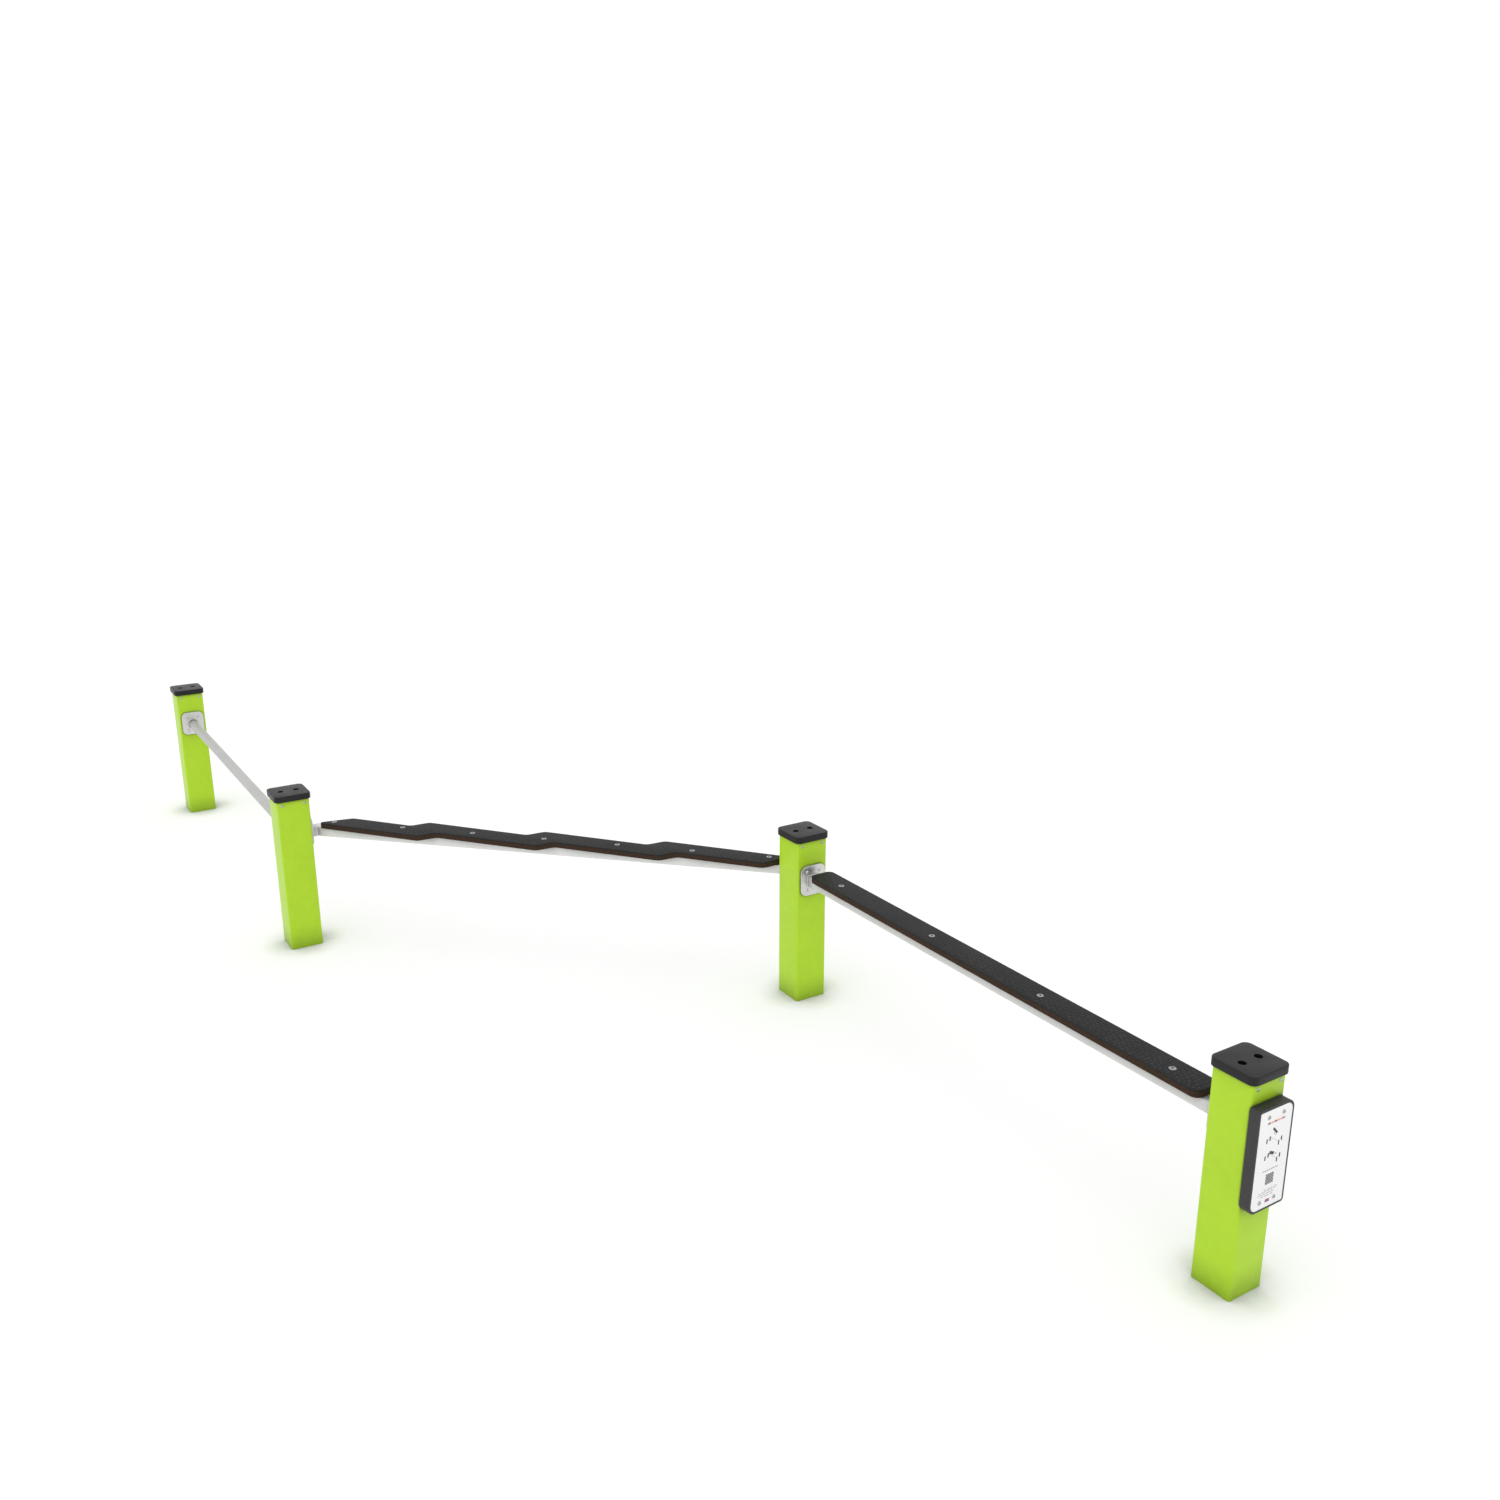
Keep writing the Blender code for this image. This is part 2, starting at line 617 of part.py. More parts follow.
def zigzag_corners():
    """Corners of the zigzag plank, counter-clockwise, about the middle of the diagonal run.

    Each long edge drifts back between two jogs, and a jog takes it forward again. The far edge's
    jogs come before the middle line's by JOG_LEAD, and the near edge's after it. Both ends are
    cut on the slant.
    """
    drift = JOG_RISE / (JOG_PITCH - JOG_RUN)
    upright_width = PLANK_WIDTH * math.hypot(1, drift)
    half_width = upright_width / 2 + drift * JOG_LEAD
    middles = [JOG_SHIFT + x for x, _ in row_places(JOG_COUNT, JOG_PITCH)]

    def edge(side):
        """The jog corners of one long edge, from the first end to the last."""
        corners = []
        for middle in middles:
            x = middle - side * JOG_LEAD
            y = side * half_width
            corners.append((x - JOG_RUN / 2, y - JOG_RISE / 2, JOG_CORNER))
            corners.append((x + JOG_RUN / 2, y + JOG_RISE / 2, JOG_CORNER))
        return corners

    def end(edge_corner, reach, slant_run, radius):
        """Where the line of a long edge meets the slanted cut of an end."""
        edge_x, edge_y, _ = edge_corner
        slant = END_SLANT_RISE / slant_run
        x = (edge_y + drift * edge_x + slant * reach) / (slant + drift)
        return (x, slant * (x - reach), radius)

    near = edge(-1)
    far = edge(1)
    first = -FIRST_END_REACH
    last = LAST_END_REACH
    corners = [
        end(near[0], first, FIRST_SLANT_RUN, SHARP_END_CORNER),
        *near,
        end(near[-1], last, LAST_SLANT_RUN, BLUNT_END_CORNER),
        end(far[-1], last, LAST_SLANT_RUN, LAST_SHARP_CORNER),
        *reversed(far),
        end(far[0], first, FIRST_SLANT_RUN, BLUNT_END_CORNER),
    ]
    return [(x, y - ZIGZAG_ASIDE, radius) for x, y, radius in corners]


def make_zigzag_plank():
    """The zigzag plank and its bolts."""
    place = diagonal_frame(ZIGZAG_PLANK_BASE)
    builder = plank_builder(zigzag_corners(), JOG_STEPS)
    plank = make_object("zigzag_plank", builder, PLANK_BLACK, place)
    bolt_plank("zigzag_plank_bolt", plank, place, zigzag_bolt_places())


def make_sign(post, foot):
    """The sign: a soft-edged backing on the post's near face, a plate on it and four screws."""
    places = grid_places(SIGN_SCREW_ACROSS, SIGN_SCREW_UP)
    centre = foot + Vector((0, 0, SIGN_LEVEL))
    post_face = facing(NEAR, centre - Vector((0, HALF_POST, 0)))
    drill(post, post_face, SCREW_SHANK_RADIUS, places, POST_WALL)

    full = rectangle_outline(SIGN_WIDTH, SIGN_HEIGHT, SIGN_CORNER)
    loops = [at_height(full, 0)]
    for step in range(EASE_STEPS + 1):
        angle = QUARTER_TURN * step / EASE_STEPS
        inset = SIGN_EASE * (1 - math.cos(angle))
        rise = SIGN_EASE * math.sin(angle)
        eased = rectangle_outline(SIGN_WIDTH, SIGN_HEIGHT, SIGN_CORNER, inset)
        loops.append(at_height(eased, SIGN_DEPTH - SIGN_EASE + rise))
    backing_seat = facing(NEAR, centre - Vector((0, SIGN_BACK, 0)))
    backing = make_object("sign_backing", loft(loops), BACKING_PLASTIC, backing_seat)
    backing_face = facing(NEAR, centre - Vector((0, SIGN_BACK + SIGN_DEPTH, 0)))
    drill(backing, backing_face, SCREW_SHANK_RADIUS, places, SIGN_DEPTH)

    outline = rectangle_outline(SIGN_WIDTH, SIGN_HEIGHT, SIGN_CORNER, SIGN_MARGIN)
    loops = [at_height(outline, 0), at_height(outline, SIGN_PLATE_THICKNESS)]
    plate_seat = facing(NEAR, centre - Vector((0, SIGN_PLATE_BACK, 0)))
    plate = make_object("sign_plate", loft(loops), SIGN_WHITE, plate_seat)
    plate_face = facing(NEAR, centre - Vector((0, SIGN_FACE, 0)))
    drill(plate, plate_face, SCREW_SHANK_RADIUS, places, SIGN_PLATE_THICKNESS)

    stand_off = SIGN_FACE - HALF_POST
    make_face_screws("sign_screw", foot, SIGN_LEVEL, stand_off, SIGN_SCREW_LENGTH, places)


clear_scene()

GREEN = make_material("post_green", (0.440, 0.680, 0.046), 0.38, 0)
CAP_PLASTIC = make_material("cap_grey", (0.055, 0.055, 0.058), 0.55, 0)
STEEL = make_material("galvanised_steel", (0.62, 0.63, 0.62), 0.42, 0.7)
ZINC = make_material("zinc_screw", (0.66, 0.66, 0.66), 0.32, 0.9)
PLANK_BLACK = make_material("plank_black", (0.050, 0.050, 0.050), 0.7, 0)
BACKING_PLASTIC = make_material("backing_grey", (0.068, 0.068, 0.070), 0.55, 0)
SIGN_WHITE = make_material("sign_white", (0.90, 0.90, 0.90), 0.4, 0)

TRAIL = bpy.data.objects.new("balance_trail", None)
bpy.context.collection.objects.link(TRAIL)
TRAIL.location = -FOOTPRINT_MIDDLE

post_pieces = {}
for post_name, post_foot in POSTS.items():
    number = post_name[-1]
    post_pieces[post_name] = make_post(post_name, post_foot)
    make_foot_plate(f"foot_plate_{number}", post_foot)
    make_cap(f"post_cap_{number}", post_foot)
    make_face_screws(
        f"cap_screw_{number}", post_foot, CAP_SCREW_LEVEL, 0, CAP_SCREW_LENGTH,
        pair_places(CAP_SCREW_SPACING),
    )

for flange_name, post_name, face_direction in FLANGES:
    make_flange(flange_name, post_pieces[post_name], POSTS[post_name], face_direction)

make_round_rail()
make_zigzag_beam()
make_straight_beam()
make_zigzag_plank()
make_straight_plank()
make_sign(post_pieces["post_4"], POSTS["post_4"])
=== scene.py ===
"""Looks for a balance trail: four lime green posts joined by a round rail and two plank spans.

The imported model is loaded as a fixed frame, and each operator dresses one group of its pieces.
Every length is in metres, in the model's own frame: +Z up, +Y along the straight spans.
"""

import math

import bmesh
import bpy
from bpy.props import FloatProperty, FloatVectorProperty, IntProperty, PointerProperty
from mathutils import Matrix, Vector


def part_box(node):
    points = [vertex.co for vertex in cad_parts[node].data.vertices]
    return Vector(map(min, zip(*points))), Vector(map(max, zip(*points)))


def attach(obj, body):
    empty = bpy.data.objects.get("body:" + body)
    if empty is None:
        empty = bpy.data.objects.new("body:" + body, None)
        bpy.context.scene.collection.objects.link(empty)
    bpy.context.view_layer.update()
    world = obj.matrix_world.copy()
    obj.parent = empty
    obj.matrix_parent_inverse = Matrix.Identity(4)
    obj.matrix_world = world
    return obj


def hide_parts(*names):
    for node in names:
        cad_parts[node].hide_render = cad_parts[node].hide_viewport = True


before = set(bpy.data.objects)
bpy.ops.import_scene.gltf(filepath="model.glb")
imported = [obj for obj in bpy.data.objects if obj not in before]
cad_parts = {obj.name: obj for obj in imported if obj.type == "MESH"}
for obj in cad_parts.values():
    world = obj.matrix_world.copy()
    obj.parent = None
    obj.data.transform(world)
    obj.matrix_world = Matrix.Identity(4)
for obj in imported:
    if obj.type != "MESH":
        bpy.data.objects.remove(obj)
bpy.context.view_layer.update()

bl_info = {
    "name": "Balance trail looks",
    "version": (1, 0, 0),
    "blender": (4, 5, 0),
    "location": "3D View > Sidebar > Trail",
    "description": "Dresses the balance trail's posts, rails, planks, fasteners and sign",
    "category": "Object",
}

BODY = "root"
NEAR = Vector((0, -1, 0))
FAR = Vector((0, 1, 0))
RIGHT = Vector((1, 0, 0))
UP = Vector((0, 0, 1))
QUARTER_TURN = math.pi / 2
SHARP_ANGLE = math.radians(35)
FIT_GAP = 0.0003
OVERRUN = 0.002
CORNER_STEPS = 14
CAP_CORNER_STEPS = 12
PLATE_CORNER_STEPS = 12
WELD_CORNER_STEPS = 6
PIPE_SEGMENTS = 72
WELD_SEGMENTS = 48
HOLE_SEGMENTS = 40

# Each flange plate, the number of the post that carries it and the way it faces
FLANGES = [
    ("round_rail_flange_1", 1, NEAR),
    ("round_rail_flange_2", 2, FAR),
    ("zigzag_flange_2", 2, RIGHT),
    ("zigzag_flange_3", 3, FAR),
    ("straight_flange_3", 3, NEAR),
    ("straight_flange_4", 4, FAR),
]


# Sizes and colours that a user would change


def length(name, default, description):
    """A length in metres."""
    return FloatProperty(
        name=name, description=description, default=default, unit="LENGTH", precision=4
    )


def angle(name, degrees, description):
    """An angle, given in degrees."""
    return FloatProperty(
        name=name, description=description, default=math.radians(degrees), subtype="ANGLE"
    )


def colour(name, default, description):
    """A linear colour."""
    return FloatVectorProperty(
        name=name, description=description, default=default, subtype="COLOR", min=0, max=1
    )


def factor(name, default, description):
    """A share or a strength."""
    return FloatProperty(name=name, description=description, default=default, min=0)


class TrailPosts(bpy.types.PropertyGroup):
    """The posts and their caps."""

    wall: length("Wall", 0.003, "Thickness of the post's wall")
    corner: length("Corner", 0.006, "Outer radius of the post's corners")
    paint: colour("Paint", (0.465, 0.740, 0.0255), "Colour of the powder coat")
    cap_corner: length("Cap corner", 0.016, "Radius of the cap's corners seen from above")
    cap_ease: length("Cap ease", 0.0020, "Radius along the cap's upper edge")
    cap_under_ease: length("Cap lower ease", 0.0008, "Radius along the cap's lower edge")
    cap_drop: length("Spigot depth", 0.026, "How far the cap reaches into the post")
    cap_wall: length("Spigot wall", 0.0035, "Thickness of the cap's spigot")
    hole_radius: length("Cap hole radius", 0.0088, "Radius of the two holes in the cap")
    hole_depth: length("Cap hole depth", 0.009, "Depth of the two holes in the cap")
    hole_spacing: length("Cap hole spacing", 0.0487, "Distance between the two holes")
    cap_colour: colour("Cap colour", (0.0135, 0.0135, 0.0138), "Colour of the moulded caps")


class TrailSteel(bpy.types.PropertyGroup):
    """The galvanised plates, rail and beams."""

    plate_width: length("Plate width", 0.083, "Width of a flange plate")
    plate_height: length("Plate height", 0.091, "Height of a flange plate")
    plate_thickness: length("Plate thickness", 0.005, "Thickness of a flange plate")
    plate_corner: length("Plate corner", 0.020, "Corner radius of a flange plate")
    plate_ease: length("Plate ease", 0.0008, "Radius along a flange plate's outer edge")
    rail_wall: length("Rail wall", 0.0026, "Wall of the round rail")
    beam_wall: length("Beam wall", 0.0025, "Wall of the box beams")
    beam_corner: length("Beam corner", 0.004, "Outer corner radius of the box beams")
    stub: length("Stub", 0.033, "Length of the zigzag beam's square stubs")
    weld_radius: length("Weld size", 0.0024, "Radius of a weld ripple")
    weld_pitch: length("Weld pitch", 0.0019, "Distance between weld ripples")
    zinc: colour("Zinc", (0.69, 0.69, 0.675), "Colour of the straight beam")
    plate_zinc: colour("Plate zinc", (0.64, 0.64, 0.625), "Colour of the flange plates")
    painted_lit_zinc: colour("Painted lit zinc", (0.77, 0.77, 0.76), "Colour of the zigzag beam")
    # A lighter copy of the zinc, painted light for the zigzag beam's side; the welds use it too.
    rail_zinc: colour("Rail zinc", (0.53, 0.53, 0.52), "Colour of the galvanised round rail")


class TrailFasteners(bpy.types.PropertyGroup):
    """Screws and bolts."""

    screw_height: length("Screw head height", 0.0018, "Height of a side screw's head")
    bolt_radius: length("Plank bolt head radius", 0.0081, "Radius of a plank bolt's head")
    bolt_height: length("Plank bolt head height", 0.0012, "Height of a plank bolt's head")
    plate_bolt_radius: length("Plate bolt radius", 0.0045, "Head radius of a plate bolt")
    plate_bolt_height: length("Plate bolt height", 0.003, "Head height of a plate bolt")
    plate_bolt_across: length("Plate bolts across", 0.041, "Distance between plate bolts")
    plate_bolt_up: length("Plate bolts up", 0.056, "Upright distance between plate bolts")
    screw: colour("Screws", (0.50, 0.50, 0.49), "Colour of the bright screws")
    bolt: colour("Bolts", (0.38, 0.38, 0.38), "Colour of the duller bolts")
    seed: IntProperty(name="Seed", default=7, description="Turns the screw sockets at random")


class TrailPlanks(bpy.types.PropertyGroup):
    """The straight and the zigzag plank."""

    ease: length("Ease", 0.001, "Radius along a plank's edges")
    straight_corner: length("Straight corner", 0.018, "Corner radius of the straight plank")
    width: length("Width", 0.0745, "Width of a plank")
    aside: length("Aside", 0.008, "How far the zigzag plank lies aside from its beam's middle")
    jog_count: IntProperty(name="Jogs", default=3, description="Jogs in the zigzag plank")
    jog_from_bend: length("Jog from bend", 0.3757, "First and last jog from the beam's bends")
    jog_rise: length("Jog rise", 0.0395, "Sideways step of a jog")
    jog_run: length("Jog run", 0.045, "Length of a jog along the span")
    jog_lead: length("Jog lead", 0.0305, "How far an edge's jog lies from the middle line's")
    jog_shift: length("Jog shift", -0.007, "Shift of all jogs along the span")
    jog_corner: length("Jog corner", 0.025, "Radius of the corners of a jog")
    first_end: length("First end", 0.0356, "First end from the beam's bend")
    last_end: length("Last end", 0.0088, "Last end from the beam's bend")
    first_slant: length("First slant run", 0.069, "Run of the first end's slanted cut")
    last_slant: length("Last slant run", 0.043, "Run of the last end's slanted cut")
    slant_rise: length("Slant rise", 0.046, "Rise of an end's slanted cut")
    sharp_corner: length("Sharp corner", 0.008, "Radius of the first end's sharp corner")
    blunt_corner: length("Blunt corner", 0.030, "Radius of the blunt corners")
    last_sharp_corner: length("Last sharp corner", 0.016, "Radius of the last sharp corner")
    grip_pitch: length("Grip pitch", 0.0222, "Distance between the anti-slip lumps in a row")
    grip_radius: length("Grip radius", 0.0045, "Radius of an anti-slip lump")
    grip_height: length("Grip height", 0.0004, "Height of an anti-slip lump")
    grip_margin: length("Grip margin", 0.0050, "Plain edge round the anti-slip lumps")
    film_share: factor("Film share", 0.22, "Share of the plank's edge that the film covers")
    film: colour("Film", (0.0188, 0.0188, 0.0192), "Colour of the anti-slip film")
    # Lighter film on the lumps' tops and along edges is partly wear and partly a painted
    # highlight.
    wear_highlight_share: factor("Wear and highlight share", 1.8, "How much lighter the film is where it is worn")
    core: colour("Core", (0.063, 0.037, 0.023), "Colour of the bare edge")
    dark_share: factor("Dark share", 0.55, "Brightness of the core's darker layers")


class TrailSign(bpy.types.PropertyGroup):
    """The sign on post 4."""

    corner: length("Corner", 0.0210, "Radius of the backing's upper right and lower left corners")
    tight_corner: length("Tight corner", 0.008, "Radius of the backing's other two corners")
    ease: length("Ease", 0.0012, "Radius along the backing's front edge")
    plate_corner: length("Plate corner", 0.0170, "Radius of the plate's two round corners")
    sharp_corner: length("Sharp corner", 0.003, "Radius of the plate's other two corners")
    plate_ease: length("Plate ease", 0.0003, "Radius along the plate's front edge")
    ink_height: length("Ink height", 0.00012, "Height of the printed marks")
    backing: colour("Backing", (0.045, 0.045, 0.0455), "Colour of the backing")
    face: colour("Face", (0.97, 0.97, 0.97), "Colour of the plate")


class TrailStage(bpy.types.PropertyGroup):
    """Camera, floor and light."""

    camera_place: FloatVectorProperty(
        name="Camera place",
        description="Where the camera stands",
        default=(-1.55926, -3.68892, 1.89910),
        subtype="XYZ",
        unit="LENGTH",
    )
    heading: angle("Heading", 32.191, "Camera's turn from +Y towards +X")
    tilt: angle("Tilt", 16.819, "How far the camera looks down")
    roll: angle("Roll", -0.123, "Camera's turn about its line of sight")
    lens: FloatProperty(
        name="Lens", description="Focal length in mm", default=33.2856, unit="CAMERA"
    )
    dome: factor("Dome", 0.90, "Strength of the even light from all round")
    key: factor("Key", 0.50, "Strength of the soft light from the upper left")
    key_spread: angle("Key spread", 80, "How wide the soft light is")
    floor_size: length("Floor", 120, "Side of the floor")
    floor_bounce: factor("Floor bounce", 0.80, "How light the floor is to the object")
    floor_shown: factor("Floor shown", 1.0, "How light the floor is to the camera")
    floor_lift: factor("Floor lift", 0.040, "Share of white that the floor adds for the camera")


SETTINGS = {
    "trail_posts": TrailPosts,
    "trail_steel": TrailSteel,
    "trail_fasteners": TrailFasteners,
    "trail_planks": TrailPlanks,
    "trail_sign": TrailSign,
    "trail_stage": TrailStage,
}


# Outlines and solids


def rounded_outline(corners, inset=0, steps=10):
    """Points of a polygon, counter-clockwise, with each corner (x, y, radius) rounded."""
    points = []
    for index, (x, y, radius) in enumerate(corners):
        corner = Vector((x, y))
        arriving = (corner - Vector(corners[index - 1][:2])).normalized()
        leaving = (Vector(corners[(index + 1) % len(corners)][:2]) - corner).normalized()
        arriving_in = Vector((-arriving.y, arriving.x))
        leaving_in = Vector((-leaving.y, leaving.x))
        turn = math.atan2(arriving.cross(leaving), arriving.dot(leaving))
        side = math.copysign(1, turn)
        corner += (arriving_in + leaving_in) * inset / (1 + arriving_in.dot(leaving_in))
        bend = radius - inset * side
        start = corner - arriving * bend * math.tan(abs(turn) / 2)
        centre = start + arriving_in * bend * side
        for step in range(steps + 1):
            spoke = start - centre
            spoke.rotate(Matrix.Rotation(turn * step / steps, 2))
            points.append(centre + spoke)
    return points


def rectangle_corners(width, height, radius, tight=None):
    """The corners of a rectangle; two of them, across from each other, can be tight ones."""
    x = width / 2
    y = height / 2
    other = radius if tight is None else tight
    return [(x, y, radius), (-x, y, other), (-x, -y, radius), (x, -y, other)]


def circle_outline(radius, segments):
    """A circle about the origin."""
    turns = [2 * math.pi * step / segments for step in range(segments)]
    return [Vector((radius * math.cos(turn), radius * math.sin(turn))) for turn in turns]


def at_height(outline, height):
    """Lift a flat outline to one height."""
    return [Vector((point.x, point.y, height)) for point in outline]


def sleeve_loops(outer, inner, start, finish):
    """Loops out along a tube's outer wall and back along its inner one."""
    row = ((outer, start), (outer, finish), (inner, finish), (inner, start))
    return [at_height(outline, height) for outline, height in row]


def eased_loops(corners, low, high, low_ease, high_ease, steps=10, ease_steps=3):
    """Loops of a prism from the bottom up, with an upper and, where it has one, a lower ease."""
    turns = [QUARTER_TURN * step / ease_steps for step in range(ease_steps + 1)]
    rings = []
    for turn in turns if low_ease else turns[-1:]:
        rings.append((low_ease * (1 - math.sin(turn)), low + low_ease * (1 - math.cos(turn))))
    for turn in turns:
        rings.append((high_ease * (1 - math.cos(turn)), high - high_ease * (1 - math.sin(turn))))
    return [at_height(rounded_outline(corners, inset, steps), level) for inset, level in rings]


def loft(loops, ring=False, builder=None):
    """Join loops of equal count with faces, and close them into a solid or into a ring."""
    builder = builder or bmesh.new()
    rows = [[builder.verts.new(point) for point in loop] for loop in loops]
    pairs = list(zip(rows, rows[1:]))
    if ring:
        pairs.append((rows[-1], rows[0]))
    else:
        builder.faces.new(rows[0])
        builder.faces.new(rows[-1])
    for lower, upper in pairs:
        for index in range(len(lower)):
            after = (index + 1) % len(lower)
            builder.faces.new((lower[index], lower[after], upper[after], upper[index]))
    return builder


def facing(direction, position):
    """A placement with its Z axis along a level direction and its Y axis upwards."""
    turned = Matrix((UP.cross(direction), UP, direction)).transposed().to_4x4()
    return Matrix.Translation(position) @ turned


def link_object(name, mesh):
    """A linked object at the origin with the mesh."""
    piece = bpy.data.objects.new(name, mesh)
    bpy.context.scene.collection.objects.link(piece)
    return piece


def smooth(mesh):
    """Shade a mesh smooth with sharp edges."""
    mesh.shade_smooth()
    mesh.set_sharp_from_angle(angle=SHARP_ANGLE)


def plain_object(name, builder, place=Matrix.Identity(4)):
    """An object at the origin whose mesh holds its place."""
    bmesh.ops.recalc_face_normals(builder, faces=builder.faces)
    mesh = bpy.data.meshes.new(name)
    builder.to_mesh(mesh)
    builder.free()
    mesh.transform(place)
    smooth(mesh)
    return link_object(name, mesh)


def give_material(piece, material):
    """Make a material the piece's only one."""
    piece.data.materials.clear()
    piece.data.materials.append(material)


def hand_over(piece, material, nodes=()):
    """Give a piece its material by name, its body and the nodes it stands for."""
    if material:
        give_material(piece, shared_material(material))
    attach(piece, BODY)
    if nodes:
        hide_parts(*nodes)


def bake_modifiers(piece):
    """Turn what the modifiers make into the piece's own plain mesh."""
    graph = bpy.context.evaluated_depsgraph_get()
    graph.update()
    made = bpy.data.meshes.new_from_object(
        piece.evaluated_get(graph), preserve_all_data_layers=True, depsgraph=graph
    )
    made.name = piece.name
    piece.modifiers.clear()
    piece.data = made


def cut(piece, tool):
    """Cut a tool's shape out of a piece and throw the tool away."""
    step = piece.modifiers.new("Cut", "BOOLEAN")
    step.operation = "DIFFERENCE"
    step.solver = "EXACT"
    step.object = tool
    bake_modifiers(piece)
    bpy.data.objects.remove(tool, do_unlink=True)
    piece.data.set_sharp_from_angle(angle=SHARP_ANGLE)


# Where things are, read from the frame


def settings(name):
    """The scene's settings of one kind."""
    return getattr(bpy.context.scene, "trail_" + name)


def middle_of(node):
    """The middle of a node's box."""
    low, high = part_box(node)
    return (low + high) / 2


def size_of(node):
    """The size of a node's box."""
    low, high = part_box(node)
    return high - low


def foot_of(number):
    """The middle of a post's foot, on the ground."""
    middle = middle_of(f"post_{number}")
    return Vector((middle.x, middle.y, 0))


def flange_seats():
    """Each flange plate's name, its way out and the middle of its outer face."""
    for name, number, outward in FLANGES:
        low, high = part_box(name)
        foot = foot_of(number)
        corner = high if (outward.x + outward.y) > 0 else low
        reach = abs((corner - foot).dot(outward)) - settings("fasteners").plate_bolt_height
        yield name, outward, foot + outward * reach + UP * middle_of(name).z


def straight_path(node):
    """A rail's or a beam's path along Y in plan."""
    low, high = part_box(node)
    x = (low.x + high.x) / 2
    return [Vector((x, high.y, 0)), Vector((x, low.y, 0))]


def beam_path():
    """The zigzag beam's path in plan: a stub, the diagonal run and another stub."""
    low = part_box("zigzag_beam")[0]
    reach = size_of("post_2").x / 2 + settings("steel").stub
    first = foot_of(2)
    last = foot_of(3)
    return [
        Vector((low.x, first.y, 0)),
        first + RIGHT * reach,
        last + FAR * reach,
        Vector((last.x, low.y, 0)),
    ]


# Node trees

VECTOR_DATA = {"data_type": "FLOAT_VECTOR"}


class Graph:
    """A node tree, with short ways to add nodes to it."""

    def __init__(self, tree):
        self.tree = tree

    def feed(self, socket, value):
        """Link an output to an input, or set the input; a colour is given as three numbers."""
        if isinstance(value, bpy.types.NodeSocket):
            self.tree.links.new(value, socket)
        elif value is not None:
            socket.default_value = (*value, 1) if socket.type == "RGBA" else value

    def put(self, kind, *inputs, options=None, **named):
        """Add a node, feed its inputs in their order or by name and give its outputs."""
        node = self.tree.nodes.new(kind)
        for key, value in (options or {}).items():
            setattr(node, key, value)
        for socket, value in zip(node.inputs, inputs):
            self.feed(socket, value)
        for key, value in named.items():
            self.feed(node.inputs[key.replace("_", " ")], value)
        return node.outputs

    def math(self, operation, *values):
        """A sum on numbers."""
        return self.put("ShaderNodeMath", *values, options={"operation": operation})[0]

    def times(self, product, *others):
        """The product of numbers."""
        for other in others:
            product = self.math("MULTIPLY", product, other)
        return product

    def spread(self, value, low, high, new_low, new_high):
        """Map a number's range onto another."""
        return self.put("ShaderNodeMapRange", value, low, high, new_low, new_high)[0]

    def vector(self, operation, *values):
        """A sum on vectors or colours."""
        return self.put("ShaderNodeVectorMath", *values, options={"operation": operation})

    def scaled(self, vector, value):
        """A vector or a colour times a number."""
        return self.vector("SCALE", vector, None, None, value)[0]

    def blend(self, mask, first, second):
        """Mix two colours by a mask; the colour inputs come after five of other kinds."""
        values = [mask, *[None] * 5, first, second]
        return self.put("ShaderNodeMix", *values, options={"data_type": "RGBA"})[2]

    def chance(self, low, high, seed=None):
        """A random number or vector for each point."""
        if isinstance(low, float):
            values = (None, None, low, high)
            options = {"data_type": "FLOAT"}
        else:
            values = (low, high)
            options = VECTOR_DATA
        outputs = self.put("FunctionNodeRandomValue", *values, Seed=seed, options=options)
        return outputs[len(values) // 2 - 1]

    def noise(self, place, scale, detail, rough=0.5):
        """Noise, as a number and as a colour."""
        values = {"Vector": place, "Scale": scale, "Detail": detail, "Roughness": rough}
        return self.put("ShaderNodeTexNoise", **values)


def mottle(graph, place, scale, amount):
    """Soft cloudy variation about 1."""
    clouds = graph.noise(place, scale, 3.0, 0.55)["Fac"]
    low = graph.math("SUBTRACT", 1.0, amount)
    high = graph.math("ADD", 1.0, amount)
    return [graph.spread(clouds, 0.3, 0.7, low, high)]


def fine_grain(graph, place, scale, coarse):
    """Fine grain of two sizes, as a height."""
    fine = graph.noise(place, scale, 2.0)["Fac"]
    large = graph.noise(place, graph.times(scale, 0.25), 1.0)["Fac"]
    return [graph.math("ADD", fine, graph.times(large, coarse))]


def sharp_edge_mask(graph, place, radius, scale):
    """A broken mask where a surface turns sharply outwards, used for worn film, for lighter cap
    edges that are partly a painted highlight, and for painted outlines on fastener rims.
    """
    rounded = graph.put("ShaderNodeBevel", Radius=radius, options={"samples": 4})["Normal"]
    normal = graph.put("ShaderNodeNewGeometry")["True Normal"]
    likeness = graph.vector("DOT_PRODUCT", rounded, normal)["Value"]
    edge = graph.spread(likeness, 0.99, 0.80, 0.0, 1.0)
    broken = graph.spread(graph.noise(place, scale, 3.0)["Fac"], 0.38, 0.62, 0.15, 1.0)
    return [graph.times(edge, broken)]


def zinc_spangle(graph, place, scale):
    """Zinc crystals: a tone for each crystal and the fine relief between them."""
    push = graph.scaled(graph.noise(place, 60.0, 2.0)["Color"], 0.006)
    bent = graph.vector("ADD", place, push)[0]
    cells = graph.put("ShaderNodeTexVoronoi", Vector=bent, Scale=scale)
    tone = graph.put("ShaderNodeSeparateColor", cells["Color"])["Red"]
    return [tone, cells["Distance"]]


